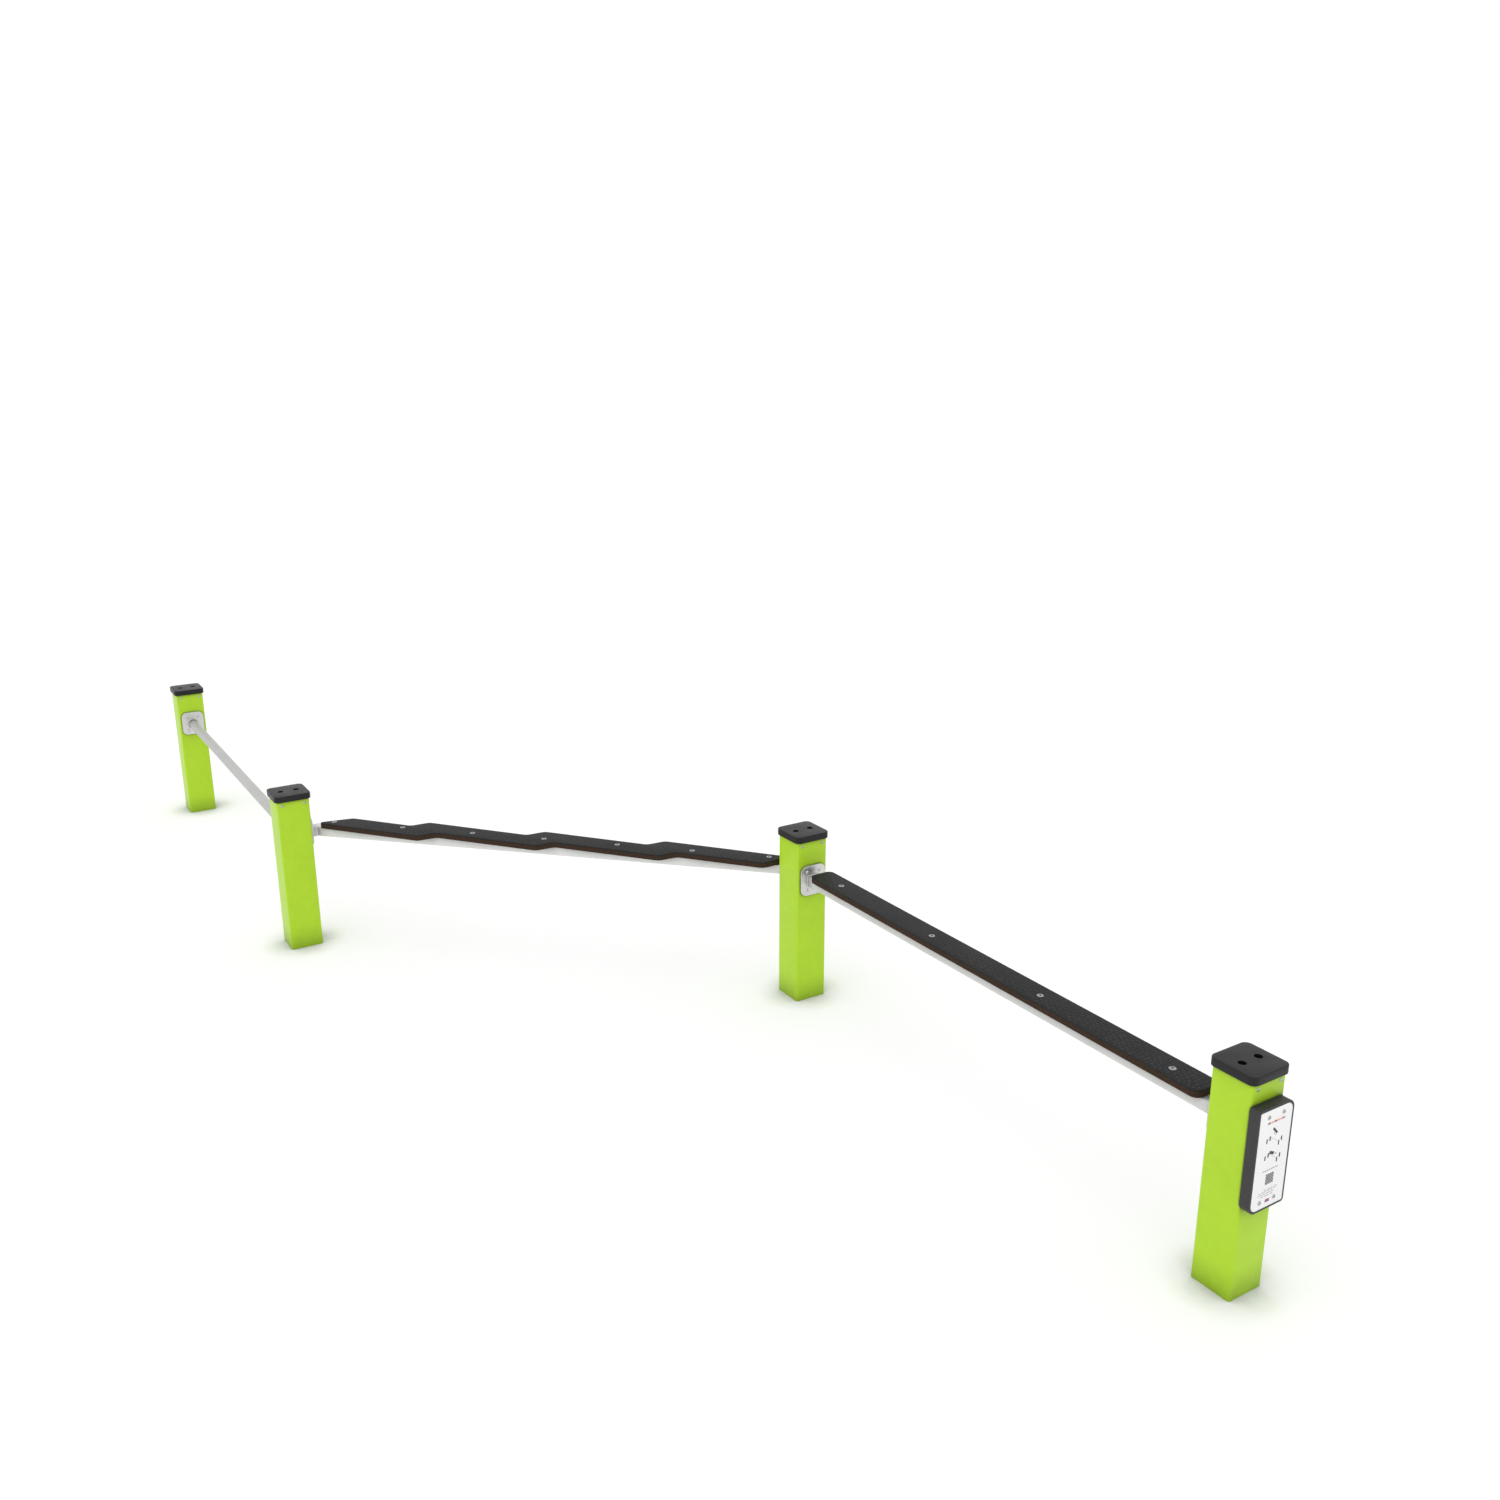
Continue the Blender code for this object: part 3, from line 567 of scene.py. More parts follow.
def painted_crevice_shade(graph, place, distance, depth):
    """Painted shade where surfaces meet, broken up by noise: 1 in the open, lower in a corner."""
    occlusion = graph.put("ShaderNodeAmbientOcclusion", Distance=distance, options={"samples": 8})
    hidden = graph.math("SUBTRACT", 1.0, occlusion["AO"])
    broken = graph.spread(graph.noise(place, 35.0, 3.0)["Fac"], 0.3, 0.7, 0.88, 1.12)
    return [graph.math("SUBTRACT", 1.0, graph.times(hidden, broken, depth))]


# Each shared group's body, its inputs after the place, and its outputs
GROUPS = {
    "Mottle": (mottle, ["Scale", "Amount"], ["Value"]),
    "Fine grain": (fine_grain, ["Scale", "Coarse"], ["Height"]),
    "Edge wear": (sharp_edge_mask, ["Radius", "Scale"], ["Mask"]),
    "Zinc spangle": (zinc_spangle, ["Scale"], ["Tone", "Height"]),
    "Crevice dust": (painted_crevice_shade, ["Distance", "Depth"], ["Value"]),
}


def new_group(name, kind, inputs, outputs):
    """A node group with inputs and outputs of the given kinds, as a graph and what comes in."""
    tree = bpy.data.node_groups.new(name, kind)
    for way, sockets in (("INPUT", inputs), ("OUTPUT", outputs)):
        for key, value in sockets.items():
            tree.interface.new_socket(key, in_out=way, socket_type="NodeSocket" + value)
    graph = Graph(tree)
    return graph, graph.put("NodeGroupInput")


def shared_group(name):
    """A shader node group that materials share, made when it is first asked for."""
    if name in bpy.data.node_groups:
        return bpy.data.node_groups[name]
    body, inputs, outputs = GROUPS[name]
    kinds = {"Vector": "Vector", **dict.fromkeys(inputs, "Float")}
    results = dict.fromkeys(outputs, "Float")
    graph, given = new_group(name, "ShaderNodeTree", kinds, results)
    graph.put("NodeGroupOutput", *body(graph, *[given[key] for key in kinds]))
    return graph.tree


class Look(Graph):
    """A material's node tree, with its shader and the object's own coordinates."""

    def __init__(self, name, **values):
        self.material = bpy.data.materials.new(name)
        self.material.use_nodes = True
        super().__init__(self.material.node_tree)
        self.place = self.put("ShaderNodeTexCoord")["Object"]
        self.shade(**values)

    def shade(self, **values):
        """Feed the shader's inputs."""
        shader = self.tree.nodes["Principled BSDF"]
        for key, value in values.items():
            self.feed(shader.inputs[key.replace("_", " ")], value)

    def group(self, name, **values):
        """Add a shared group on the object's own coordinates and give its outputs."""
        options = {"node_tree": shared_group(name)}
        return self.put("ShaderNodeGroup", self.place, options=options, **values)

    def mottle(self, scale, amount):
        """Soft clouds about 1."""
        return self.group("Mottle", Scale=scale, Amount=amount)["Value"]

    def corner_shade(self, distance, depth):
        """Painted shade: 1 in the open, lower in a corner."""
        return self.group("Crevice dust", Distance=distance, Depth=depth)["Value"]

    def edge_mask(self, radius, scale):
        """A mask of sharp edges, for wear and for painted highlights and outlines."""
        return self.group("Edge wear", Radius=radius, Scale=scale)["Mask"]

    def grain(self, scale, coarse):
        """The height of a fine grain."""
        return self.group("Fine grain", Scale=scale, Coarse=coarse)["Height"]

    def height(self):
        """The height above the ground."""
        return self.put("ShaderNodeSeparateXYZ", self.place)["Z"]

    def painted(self, layer):
        """The colour that a piece's mesh holds in a layer."""
        return self.put("ShaderNodeVertexColor", options={"layer_name": layer})["Color"]

    def finish(self, colour, rough, height=None, distance=0):
        """Feed the shader its colour, its roughness and a relief, and give the material."""
        self.shade(Base_Color=colour, Roughness=self.spread(*rough))
        if height:
            self.shade(Normal=self.put("ShaderNodeBump", Height=height, Distance=distance)[0])
        return self.material


# Materials


def powder_coat(name, base):
    """Satin powder coat with orange peel, with painted shade in corners, along seams above the
    ground and near the ground.
    """
    look = Look(name, IOR=1.5, Specular_IOR_Level=0.30)
    cloud = look.mottle(9.0, 0.030)
    value = look.times(cloud, look.mottle(55.0, 0.018))
    # Painted shade: a narrow dark seam where parts meet, kept off the lowest few centimetres, and
    # a wider darkening in corners and near the ground.
    off_ground = look.spread(look.height(), 0.02, 0.06, 0.0, 1.0)
    seam_shade = look.times(look.math("SUBTRACT", 1.0, look.corner_shade(0.008, 0.9)), off_ground)
    painted_shade = look.times(look.corner_shade(0.08, 0.75), look.math("SUBTRACT", 1.0, seam_shade))
    paint = look.scaled(base, look.times(value, painted_shade))
    return look.finish(paint, (cloud, 0.97, 1.03, 0.33, 0.41), look.grain(520.0, 1.2), 0.00006)


def moulded_plastic(name, base, wear_and_highlight, grain):
    """Dark moulded plastic with a spark-eroded grain, lighter edges that are partly rubbed wear
    and partly a painted highlight, and painted shade in corners.
    """
    look = Look(name, IOR=1.48, Specular_IOR_Level=0.25)
    cloud = look.mottle(30.0, 0.06)
    # Lighter edges, partly wear and partly a painted highlight; painted shade darkens the corners
    # below.
    mixed = look.blend(look.times(look.edge_mask(0.0012, 240.0), 0.5), base, wear_and_highlight)
    plastic = look.scaled(mixed, look.times(cloud, look.corner_shade(0.04, 0.8)))
    return look.finish(plastic, (cloud, 0.94, 1.06, 0.38, 0.46), look.grain(grain, 0.3), 0.00005)


def galvanised(name, base, metallic, low, high, reach):
    """Galvanised steel with faint crystals, a dull bloom and painted shade that reaches out from
    corners.
    """
    look = Look(name, Metallic=metallic)
    crystals = look.group("Zinc spangle", Scale=120.0)
    tone = look.spread(crystals["Tone"], 0.0, 1.0, 0.97, 1.03)
    # Painted shade from corners, out as far as the reach given.
    value = look.times(tone, look.mottle(14.0, 0.03), look.corner_shade(reach, 1.0))
    rough = (crystals["Tone"], 0, 1, low, high)
    relief = look.math("ADD", look.grain(900.0, 0.4), look.times(crystals["Height"], 0.5))
    return look.finish(look.scaled(base, value), rough, relief, 0.00003)


def plated_zinc(name, base, painted_rim, painted_shade):
    """Zinc plated fasteners with another tone at the rim, which paints a dark outline of shade or
    a light highlight as given, and painted shade in the socket.
    """
    look = Look(name, Metallic=1.0)
    cloud = look.mottle(260.0, 0.08)
    rim_toned = look.blend(look.edge_mask(0.0005, 500.0), base, (painted_rim, painted_rim, painted_rim))
    socket_shaded = look.blend(look.painted("socket"), rim_toned, (painted_shade, painted_shade, painted_shade))
    rough = (cloud, 0.92, 1.08, 0.26, 0.40)
    return look.finish(look.scaled(socket_shaded, cloud), rough, look.grain(1500.0, 0.5), 0.00002)


def board_material(name, base, thickness):
    """Anti-slip film on top and below, over bare ply layers on the edge."""
    planks = settings("planks")
    look = Look(name, IOR=1.45, Specular_IOR_Level=0.16)
    height = look.height()
    rise = look.math("SUBTRACT", height, base)

    film_start = look.times(look.mottle(90.0, 0.05), thickness * (1 - planks.film_share))
    above = look.math("SUBTRACT", rise, film_start)
    upper = look.spread(above, -0.0012, 0.0012, 0.0, 1.0)
    lower = look.spread(rise, 0.0004, 0.0009, 1.0, 0.0)
    film_mask = look.math("MAXIMUM", upper, lower)

    values = {"Vector": look.place, "Scale": 210.0, "Distortion": 1.2, "Detail Scale": 3.0}
    options = {"bands_direction": "Z"}
    layers = look.put("ShaderNodeTexWave", options=options, **values)["Fac"]
    dark_core = [planks.dark_share * part for part in planks.core]
    core = look.scaled(look.blend(layers, planks.core, dark_core), look.mottle(260.0, 0.28))

    top = base + thickness
    # Lighter film on the lumps' tops and along sharp edges: partly wear and partly a painted
    # highlight.
    top_wear_and_highlight = look.spread(height, top, top + planks.grip_height, 0.0, 1.0)
    wear_and_highlight = look.math("MAXIMUM", top_wear_and_highlight, look.times(look.edge_mask(0.0015, 200.0), 0.6))
    light_film = [planks.wear_highlight_share * part for part in planks.film]
    uneven = look.times(look.mottle(7.0, 0.16), look.mottle(170.0, 0.22))
    film = look.scaled(look.blend(wear_and_highlight, planks.film, light_film), uneven)

    relief = look.math("ADD", look.grain(600.0, 3.0), look.times(layers, 0.8))
    board = look.blend(film_mask, core, film)
    return look.finish(board, (film_mask, 0, 1, 0.85, 0.58), relief, 0.00008)


def printed_panel(name, base):
    """White printed panel with a few wiped smears in its gloss and painted shade where it meets
    the backing.
    """
    look = Look(name, IOR=1.5)
    value = look.times(look.mottle(20.0, 0.012), look.corner_shade(0.0025, 1.2))
    return look.finish(look.scaled(base, value), (look.mottle(45.0, 0.3), 0.7, 1.3, 0.22, 0.40))


def screen_ink(name):
    """Screen ink whose colour is painted on the marks."""
    look = Look(name, IOR=1.5)
    cloud = look.mottle(300.0, 0.06)
    ink = look.scaled(look.painted("ink"), cloud)
    return look.finish(ink, (cloud, 0.94, 1.06, 0.38, 0.50))


def shared_material(name):
    """A material that several pieces share, made when it is first asked for."""
    if name in bpy.data.materials:
        return bpy.data.materials[name]
    posts = settings("posts")
    steel = settings("steel")
    bolts = settings("fasteners")
    sign = settings("sign")
    makers = {
        "lime_powder_coat": (powder_coat, posts.paint),
        "moulded_cap": (moulded_plastic, posts.cap_colour, (0.09, 0.09, 0.092), 1400.0),
        "moulded_backing": (moulded_plastic, sign.backing, (0.11, 0.11, 0.112), 1100.0),
        # The last number of each galvanised entry is how far its painted shade reaches out from
        # corners.
        "hot_dip_zinc": (galvanised, steel.zinc, 0.6, 0.46, 0.62, 0.028),
        # The zigzag beam's lighter zinc is painted light for the light its side catches.
        "zigzag_zinc": (galvanised, steel.painted_lit_zinc, 0.6, 0.46, 0.62, 0.028),
        "plate_zinc": (galvanised, steel.plate_zinc, 0.85, 0.30, 0.40, 0.008),
        "rail_zinc": (galvanised, steel.rail_zinc, 0.6, 0.46, 0.62, 0.05),
        "weld_zinc": (galvanised, steel.painted_lit_zinc, 0.5, 0.50, 0.62, 0.004),
        # Rim tones paint the heads' outlines: painted shade on the bright screws and plate bolts,
        # a painted highlight on the dull bolts; the last number is the socket's painted shade.
        "bright_screw": (plated_zinc, bolts.screw, 0.16, 0.36),
        "plate_bolt": (plated_zinc, steel.plate_zinc, 0.34, 0.42),
        "dull_bolt": (plated_zinc, bolts.bolt, 0.52, 0.07),
        "printed_panel": (printed_panel, sign.face),
        "screen_ink": (screen_ink,),
    }
    maker, *values = makers[name]
    return maker(name, *values)


# Geometry node trees for what repeats

WELD_SIZES = (0.85, 1.10)
GRIP_STRAY_SHARE = 0.11
GRIP_TOP_SHARE = 0.62
GRIP_SIZES = ((0.65, 0.75, 0.6), (1, 1.1, 1))


def geometry_graph(name, kinds):
    """A group that takes and gives geometry, as a graph and what comes in."""
    geometry = {"Geometry": "Geometry"}
    return new_group(name, "GeometryNodeTree", {**geometry, **kinds}, geometry)


def scatter(graph, given, points, part, spin=None, **placing):
    """Copies of a part on points, made real and with the material, as what the tree gives."""
    copies = graph.put("GeometryNodeInstanceOnPoints", points, Instance=part, **placing)[0]
    if spin:
        copies = graph.put("GeometryNodeRotateInstances", Instances=copies, Rotation=spin)[0]
    real = graph.put("GeometryNodeRealizeInstances", copies)[0]
    painted = graph.put("GeometryNodeSetMaterial", real, Material=given["Material"])[0]
    graph.put("NodeGroupOutput", painted)
    return graph.tree


def fastener_tree():
    """One copy of a part on each point, turned as the point says and spun by chance."""
    kinds = {"Part": "Object", "Material": "Material", "Seed": "Int"}
    graph, given = geometry_graph("Fasteners", kinds)
    options = {"transform_space": "ORIGINAL"}
    part = graph.put("GeometryNodeObjectInfo", given["Part"], options=options)["Geometry"]
    turn = graph.put("GeometryNodeInputNamedAttribute", "turn", options=VECTOR_DATA)["Attribute"]
    rotation = graph.put("FunctionNodeEulerToRotation", turn)[0]
    spin = graph.chance((0, 0, 0), (0, 0, math.pi), given["Seed"])
    return scatter(graph, given, given["Geometry"], part, spin, Rotation=rotation)


def weld_tree():
    """Overlapping ripples of weld metal along a path."""
    kinds = {"Radius": "Float", "Pitch": "Float", "Material": "Material", "Seed": "Int"}
    graph, given = geometry_graph("Weld bead", kinds)
    path = graph.put("GeometryNodeMeshToCurve", given["Geometry"])[0]
    options = {"mode": "LENGTH"}
    pitch = given["Pitch"]
    steps = graph.put("GeometryNodeResampleCurve", path, Length=pitch, options=options)[0]
    ripple = graph.put("GeometryNodeMeshUVSphere", 10, 6, given["Radius"])[0]
    size = graph.chance(*WELD_SIZES, given["Seed"])
    return scatter(graph, given, steps, ripple, Scale=size)


def grip_tree():
    """Low six-sided lumps in staggered rows over the flat region that comes in."""
    numbers = ("Length", "Width", "Pitch", "Radius", "Height", "Turn")
    kinds = {**dict.fromkeys(numbers, "Float"), "Middle": "Vector", "Material": "Material"}
    graph, given = geometry_graph("Grip lumps", kinds)
    pitch = given["Pitch"]
    row_step = graph.times(pitch, 0.5 / math.sqrt(3))

    def places(reach, step):
        """How many places fit about the middle, one of them in it, and how far they reach."""
        half = graph.math("FLOOR", graph.math("DIVIDE", graph.times(reach, 0.5), step))
        count = graph.math("ADD", graph.times(half, 2.0), 1.0)
        return count, graph.times(graph.math("SUBTRACT", count, 1.0), step)

    count_x, reach_x = places(given["Length"], pitch)
    count_y, reach_y = places(given["Width"], row_step)
    grid = graph.put("GeometryNodeMeshGrid", reach_x, reach_y, count_x, count_y)[0]
    row = graph.math("MODULO", graph.put("GeometryNodeInputIndex")[0], count_y)
    aside = graph.times(graph.math("MODULO", row, 2.0), graph.times(pitch, 0.5))
    shift = graph.put("ShaderNodeCombineXYZ", aside)[0]
    far = (GRIP_STRAY_SHARE, GRIP_STRAY_SHARE, 0)
    stray = graph.scaled(graph.chance((-GRIP_STRAY_SHARE, -GRIP_STRAY_SHARE, 0), far), pitch)
    offset = graph.vector("ADD", shift, stray)[0]
    staggered = graph.put("GeometryNodeSetPosition", grid, Offset=offset)[0]
    turn = graph.put("ShaderNodeCombineXYZ", Z=given["Turn"])[0]
    values = {"Translation": given["Middle"], "Rotation": turn}
    placed = graph.put("GeometryNodeTransform", staggered, **values)[0]
    over = graph.put("GeometryNodeRaycast", given["Geometry"], Ray_Length=1.0)[0]
    away = graph.put("FunctionNodeBooleanMath", over, options={"operation": "NOT"})[0]
    kept = graph.put("GeometryNodeDeleteGeometry", placed, away)[0]
    values = {
        "Vertices": 6,
        "Radius Top": graph.times(given["Radius"], GRIP_TOP_SHARE),
        "Radius Bottom": given["Radius"],
        "Depth": given["Height"],
    }
    lump = graph.put("GeometryNodeMeshCone", **values)[0]
    return scatter(graph, given, kept, lump, Rotation=turn, Scale=graph.chance(*GRIP_SIZES))


TREE_MAKERS = {"Fasteners": fastener_tree, "Weld bead": weld_tree, "Grip lumps": grip_tree}


def grow(piece, tree_name, **values):
    """Run a geometry node tree on a piece and keep the result as its mesh."""
    tree = bpy.data.node_groups.get(tree_name) or TREE_MAKERS[tree_name]()
    step = piece.modifiers.new(tree_name, "NODES")
    step.node_group = tree
    for item in tree.interface.items_tree:
        if item.in_out == "INPUT" and item.name in values:
            step[item.identifier] = values[item.name]
    bake_modifiers(piece)
    smooth(piece.data)


def points_object(name, places, edges=()):
    """A mesh of loose points, each with the turn of its placement, or of paths between them."""
    mesh = bpy.data.meshes.new(name)
    mesh.from_pydata([place.to_translation() for place in places], edges, [])
    turns = mesh.attributes.new("turn", "FLOAT_VECTOR", "POINT")
    for item, place in zip(turns.data, places):
        item.vector = place.to_euler()
    return link_object(name, mesh)


HEAD_SEGMENTS = 24

# Screw and bolt heads, in shares of the head's radius and height
DOME_SHARES = (0.97, 0.88, 0.74, 0.60, 0.46)
# Painted shade darkens the socket out to this share of the head's radius
SOCKET_SHADE_SHARE = 0.43
SOCKET_SHARE = 0.32
SOCKET_TAPER_SHARE = 0.96
SOCKET_LEVEL_SHARES = (0.08, 0.62)
SKIRT_SHARE = 0.06


def socket_head(radius, height):
    """A domed head with a six-sided socket, sunk a little below its seat."""
    ball = (radius * radius + height * height) / (2 * height)

    def dome(share):
        """The circle of the dome at a share of its radius."""
        reach = radius * share
        level = height - ball + math.sqrt(ball * ball - reach * reach)
        return at_height(circle_outline(reach, HEAD_SEGMENTS), level)

    def hexagon(across, level):
        """A six-sided loop with as many points as the circles."""
        points = []
        for step in range(HEAD_SEGMENTS):
            turn = 2 * math.pi * step / HEAD_SEGMENTS
            lean = (turn + math.pi / 6) % (math.pi / 3) - math.pi / 6
            reach = across / math.cos(lean)
            points.append(Vector((reach * math.cos(turn), reach * math.sin(turn), level)))
        return points

    domes = [dome(share) for share in DOME_SHARES]
    socket = radius * SOCKET_SHARE
    mouth, bottom = [domes[-1][0].z - height * share for share in SOCKET_LEVEL_SHARES]
    loops = [
        at_height(circle_outline(radius * DOME_SHARES[0], HEAD_SEGMENTS), -FIT_GAP),
        at_height(circle_outline(radius, HEAD_SEGMENTS), height * SKIRT_SHARE),
        *domes,
        hexagon(socket, mouth),
        hexagon(socket * SOCKET_TAPER_SHARE, bottom),
    ]
    return loft(loops)


def fasteners(name, places, radius, height, material, nodes=()):
    """Socket heads at the places, as one piece."""
    part = plain_object(name + "_head", socket_head(radius, height))
    # The socket layer marks where painted shade darkens the socket.
    painted_shade = part.data.color_attributes.new("socket", "FLOAT_COLOR", "POINT")
    for item, vertex in zip(painted_shade.data, part.data.vertices):
        inside = 0 < vertex.co.z and vertex.co.xy.length < radius * SOCKET_SHADE_SHARE
        item.color = (1, 1, 1, 1) if inside else (0, 0, 0, 1)
    piece = points_object(name, places)
    look = shared_material(material)
    grow(piece, "Fasteners", Part=part, Material=look, Seed=settings("fasteners").seed)
    bpy.data.objects.remove(part, do_unlink=True)
    hand_over(piece, None, nodes)


# Pieces


def dress_posts():
    """Four square tubes with rounded corners, and their foot plates."""
    posts = settings("posts")
    for number in range(1, 5):
        name = f"post_{number}"
        size = size_of(name)
        corners = rectangle_corners(size.x, size.y, posts.corner)
        outer = rounded_outline(corners)
        inner = rounded_outline(corners, posts.wall)
        wall = loft(sleeve_loops(outer, inner, 0, size.z), ring=True)
        tube = plain_object(name + "_coated", wall, Matrix.Translation(foot_of(number)))
        hand_over(tube, "lime_powder_coat", [name])
        give_material(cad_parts[f"foot_plate_{number}"], shared_material("hot_dip_zinc"))


# Small sizes of the holes in the caps
HOLE_FLOOR_SHARE = 0.93
HOLE_FLOOR_EASE = 0.0006
HOLE_MOUTH_EASE = 0.0004


def dress_caps():
    """Moulded caps with two recessed holes each."""
    posts = settings("posts")
    mouth_radius = posts.hole_radius + HOLE_MOUTH_EASE
    for number in range(1, 5):
        name = f"post_cap_{number}"
        post = f"post_{number}"
        low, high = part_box(name)
        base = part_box(post)[1].z + FIT_GAP
        thickness = high.z - base
        lid = rectangle_corners(high.x - low.x, high.y - low.y, posts.cap_corner)
        eases = (posts.cap_under_ease, posts.cap_ease)
        loops = eased_loops(lid, 0, thickness, *eases, CAP_CORNER_STEPS, ease_steps=4)[::-1]
        inside = size_of(post).x - (posts.wall + FIT_GAP) * 2
        spigot = rectangle_corners(inside, inside, posts.corner - posts.wall)
        wide = rounded_outline(spigot, 0, CAP_CORNER_STEPS)
        slim = rounded_outline(spigot, posts.cap_wall, CAP_CORNER_STEPS)
        loops += sleeve_loops(wide, slim, 0, -posts.cap_drop)
        middle = middle_of(name)
        place = Matrix.Translation((middle.x, middle.y, base))
        cap = plain_object(name + "_moulded", loft(loops), place)

        floor = thickness - posts.hole_depth
        rings = [
            (posts.hole_radius * HOLE_FLOOR_SHARE, floor),
            (posts.hole_radius, floor + HOLE_FLOOR_EASE),
            (posts.hole_radius, thickness - HOLE_MOUTH_EASE),
            (mouth_radius, thickness),
            (mouth_radius, thickness + OVERRUN),
        ]
        tool = bmesh.new()
        for side in (-1, 1):
            shift = Vector((side * posts.hole_spacing / 2, 0))
            hole = []
            for radius, level in rings:
                circle = circle_outline(radius, HOLE_SEGMENTS)
                hole.append(at_height([point + shift for point in circle], level))
            loft(hole, builder=tool)
        cut(cap, plain_object("holes", tool, place))
        hand_over(cap, "moulded_cap", [name])


def dress_side_screws():
    """The screws under the caps and on the sign, as one piece."""
    height = settings("fasteners").screw_height
    nodes = [f"cap_screw_{post}_{side}" for post in range(1, 5) for side in (1, 2)]
    nodes += [f"sign_screw_{number}" for number in range(1, 5)]
    places = []
    for name in nodes:
        seat = middle_of(name)
        seat.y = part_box(name)[0].y + height
        places.append(facing(NEAR, seat))
    radius = size_of(nodes[0]).x / 2
    fasteners("side_screws", places, radius, height, "bright_screw", nodes)


def dress_flanges():
    """Flange plates with eased edges, and the bolts on them."""
    steel = settings("steel")
    bolts = settings("fasteners")
    corners = rectangle_corners(steel.plate_width, steel.plate_height, steel.plate_corner)
    low = -steel.plate_thickness
    places = []
    for name, outward, middle in flange_seats():
        loops = eased_loops(corners, low, 0, 0, steel.plate_ease, PLATE_CORNER_STEPS)
        place = facing(outward, middle)
        plate = plain_object(name + "_plate", loft(loops), place)
        hand_over(plate, "plate_zinc", [name])
        for x in (-1, 1):
            for y in (-1, 1):
                shift = (x * bolts.plate_bolt_across / 2, y * bolts.plate_bolt_up / 2, 0)
                places.append(place @ Matrix.Translation(shift))
    fasteners(
        "plate_bolts", places, bolts.plate_bolt_radius, bolts.plate_bolt_height, "plate_bolt"
    )


def sweep_level(path, outer, inner, level):
    """Sweep a hollow section along a level path, with mitred bends."""
    ways = [(after - before).normalized() for before, after in zip(path, path[1:])]
    stations = []
    for point, arriving, leaving in zip(path, [ways[0], *ways], [*ways, ways[-1]]):
        middle = (arriving + leaving).normalized()
        sideways = Vector((middle.y, -middle.x, 0)) / middle.dot(arriving)
        stations.append((point, sideways))
    loops = []
    for outline, row in ((outer, stations), (inner, stations[::-1])):
        for point, sideways in row:
            loops.append([point + sideways * p.x + UP * (level + p.y) for p in outline])
    return loft(loops, ring=True)


def dress_rails():
    """The round rail and the two box beams, with their weld beads."""
    steel = settings("steel")
    radius = size_of("round_rail").z / 2
    size = size_of("straight_beam")
    section = rectangle_corners(size.x, size.z, steel.beam_corner)
    bore = radius - steel.rail_wall
    pipe = (circle_outline(radius, PIPE_SEGMENTS), circle_outline(bore, PIPE_SEGMENTS))
    box = (rounded_outline(section), rounded_outline(section, steel.beam_wall))
    spans = [
        ("round_rail", straight_path("round_rail"), pipe, "rail_zinc"),
        ("straight_beam", straight_path("straight_beam"), box, "hot_dip_zinc"),
        ("zigzag_beam", beam_path(), box, "zigzag_zinc"),
    ]
    for name, path, outlines, look in spans:
        tube = plain_object(name + "_tube", sweep_level(path, *outlines, middle_of(name).z))
        hand_over(tube, look, [name])
    round_bead = circle_outline(radius, WELD_SEGMENTS)
    dress_welds(round_bead, rounded_outline(section, 0, WELD_CORNER_STEPS))


def dress_welds(round_outline, box_outline):
    """A bead round each end of the rail and the beams, where it meets its plate."""
    places = []
    edges = []
    for name, outward, middle in flange_seats():
        outline = round_outline if name.startswith("round") else box_outline
        if name.startswith("zigzag"):
            middle.z = middle_of("zigzag_beam").z
        seat = facing(outward, middle)
        first = len(places)
        count = len(outline)
        places += [seat @ Matrix.Translation((point.x, point.y, 0)) for point in outline]
        edges += [(first + step, first + (step + 1) % count) for step in range(count)]
    beads = points_object("weld_beads", places, edges)
    steel = settings("steel")
    grow(
        beads,
        "Weld bead",
        Radius=steel.weld_radius,
        Pitch=steel.weld_pitch,
        Material=shared_material("weld_zinc"),
        Seed=settings("fasteners").seed,
    )
    hand_over(beads, None)


def zigzag_corners(run):
    """Corners of the zigzag plank, counter-clockwise, about the middle of the diagonal run."""
    planks = settings("planks")
    pitch = (run - planks.jog_from_bend * 2) / (planks.jog_count - 1)
    drift = planks.jog_rise / (pitch - planks.jog_run)
    half_width = planks.width * math.hypot(1, drift) / 2 + drift * planks.jog_lead
    first_middle = planks.jog_shift - pitch * (planks.jog_count - 1) / 2
    middles = [first_middle + pitch * step for step in range(planks.jog_count)]

    def edge(side):
        """The jog corners of one long edge, from the first end to the last."""
        corners = []
        for middle in middles:
            x = middle - side * planks.jog_lead
            y = side * half_width
            for turn in (-0.5, 0.5):
                corner = (x + turn * planks.jog_run, y + turn * planks.jog_rise)
                corners.append((*corner, planks.jog_corner))
        return corners

    def end(edge_corner, reach, slant_run, radius):
        """Where the line of a long edge meets the slanted cut of an end."""
        edge_x, edge_y, _ = edge_corner
        slant = planks.slant_rise / slant_run
        x = (edge_y + drift * edge_x + slant * reach) / (slant + drift)
        return (x, slant * (x - reach), radius)

    near = edge(-1)
    far = edge(1)
    first = planks.first_end - run / 2
    last = run / 2 - planks.last_end
    corners = [
        end(near[0], first, planks.first_slant, planks.sharp_corner),
        *near,
        end(near[-1], last, planks.last_slant, planks.blunt_corner),
        end(far[-1], last, planks.last_slant, planks.last_sharp_corner),
        *reversed(far),
        end(far[0], first, planks.first_slant, planks.blunt_corner),
    ]
    return [(x, y - planks.aside, radius) for x, y, radius in corners]


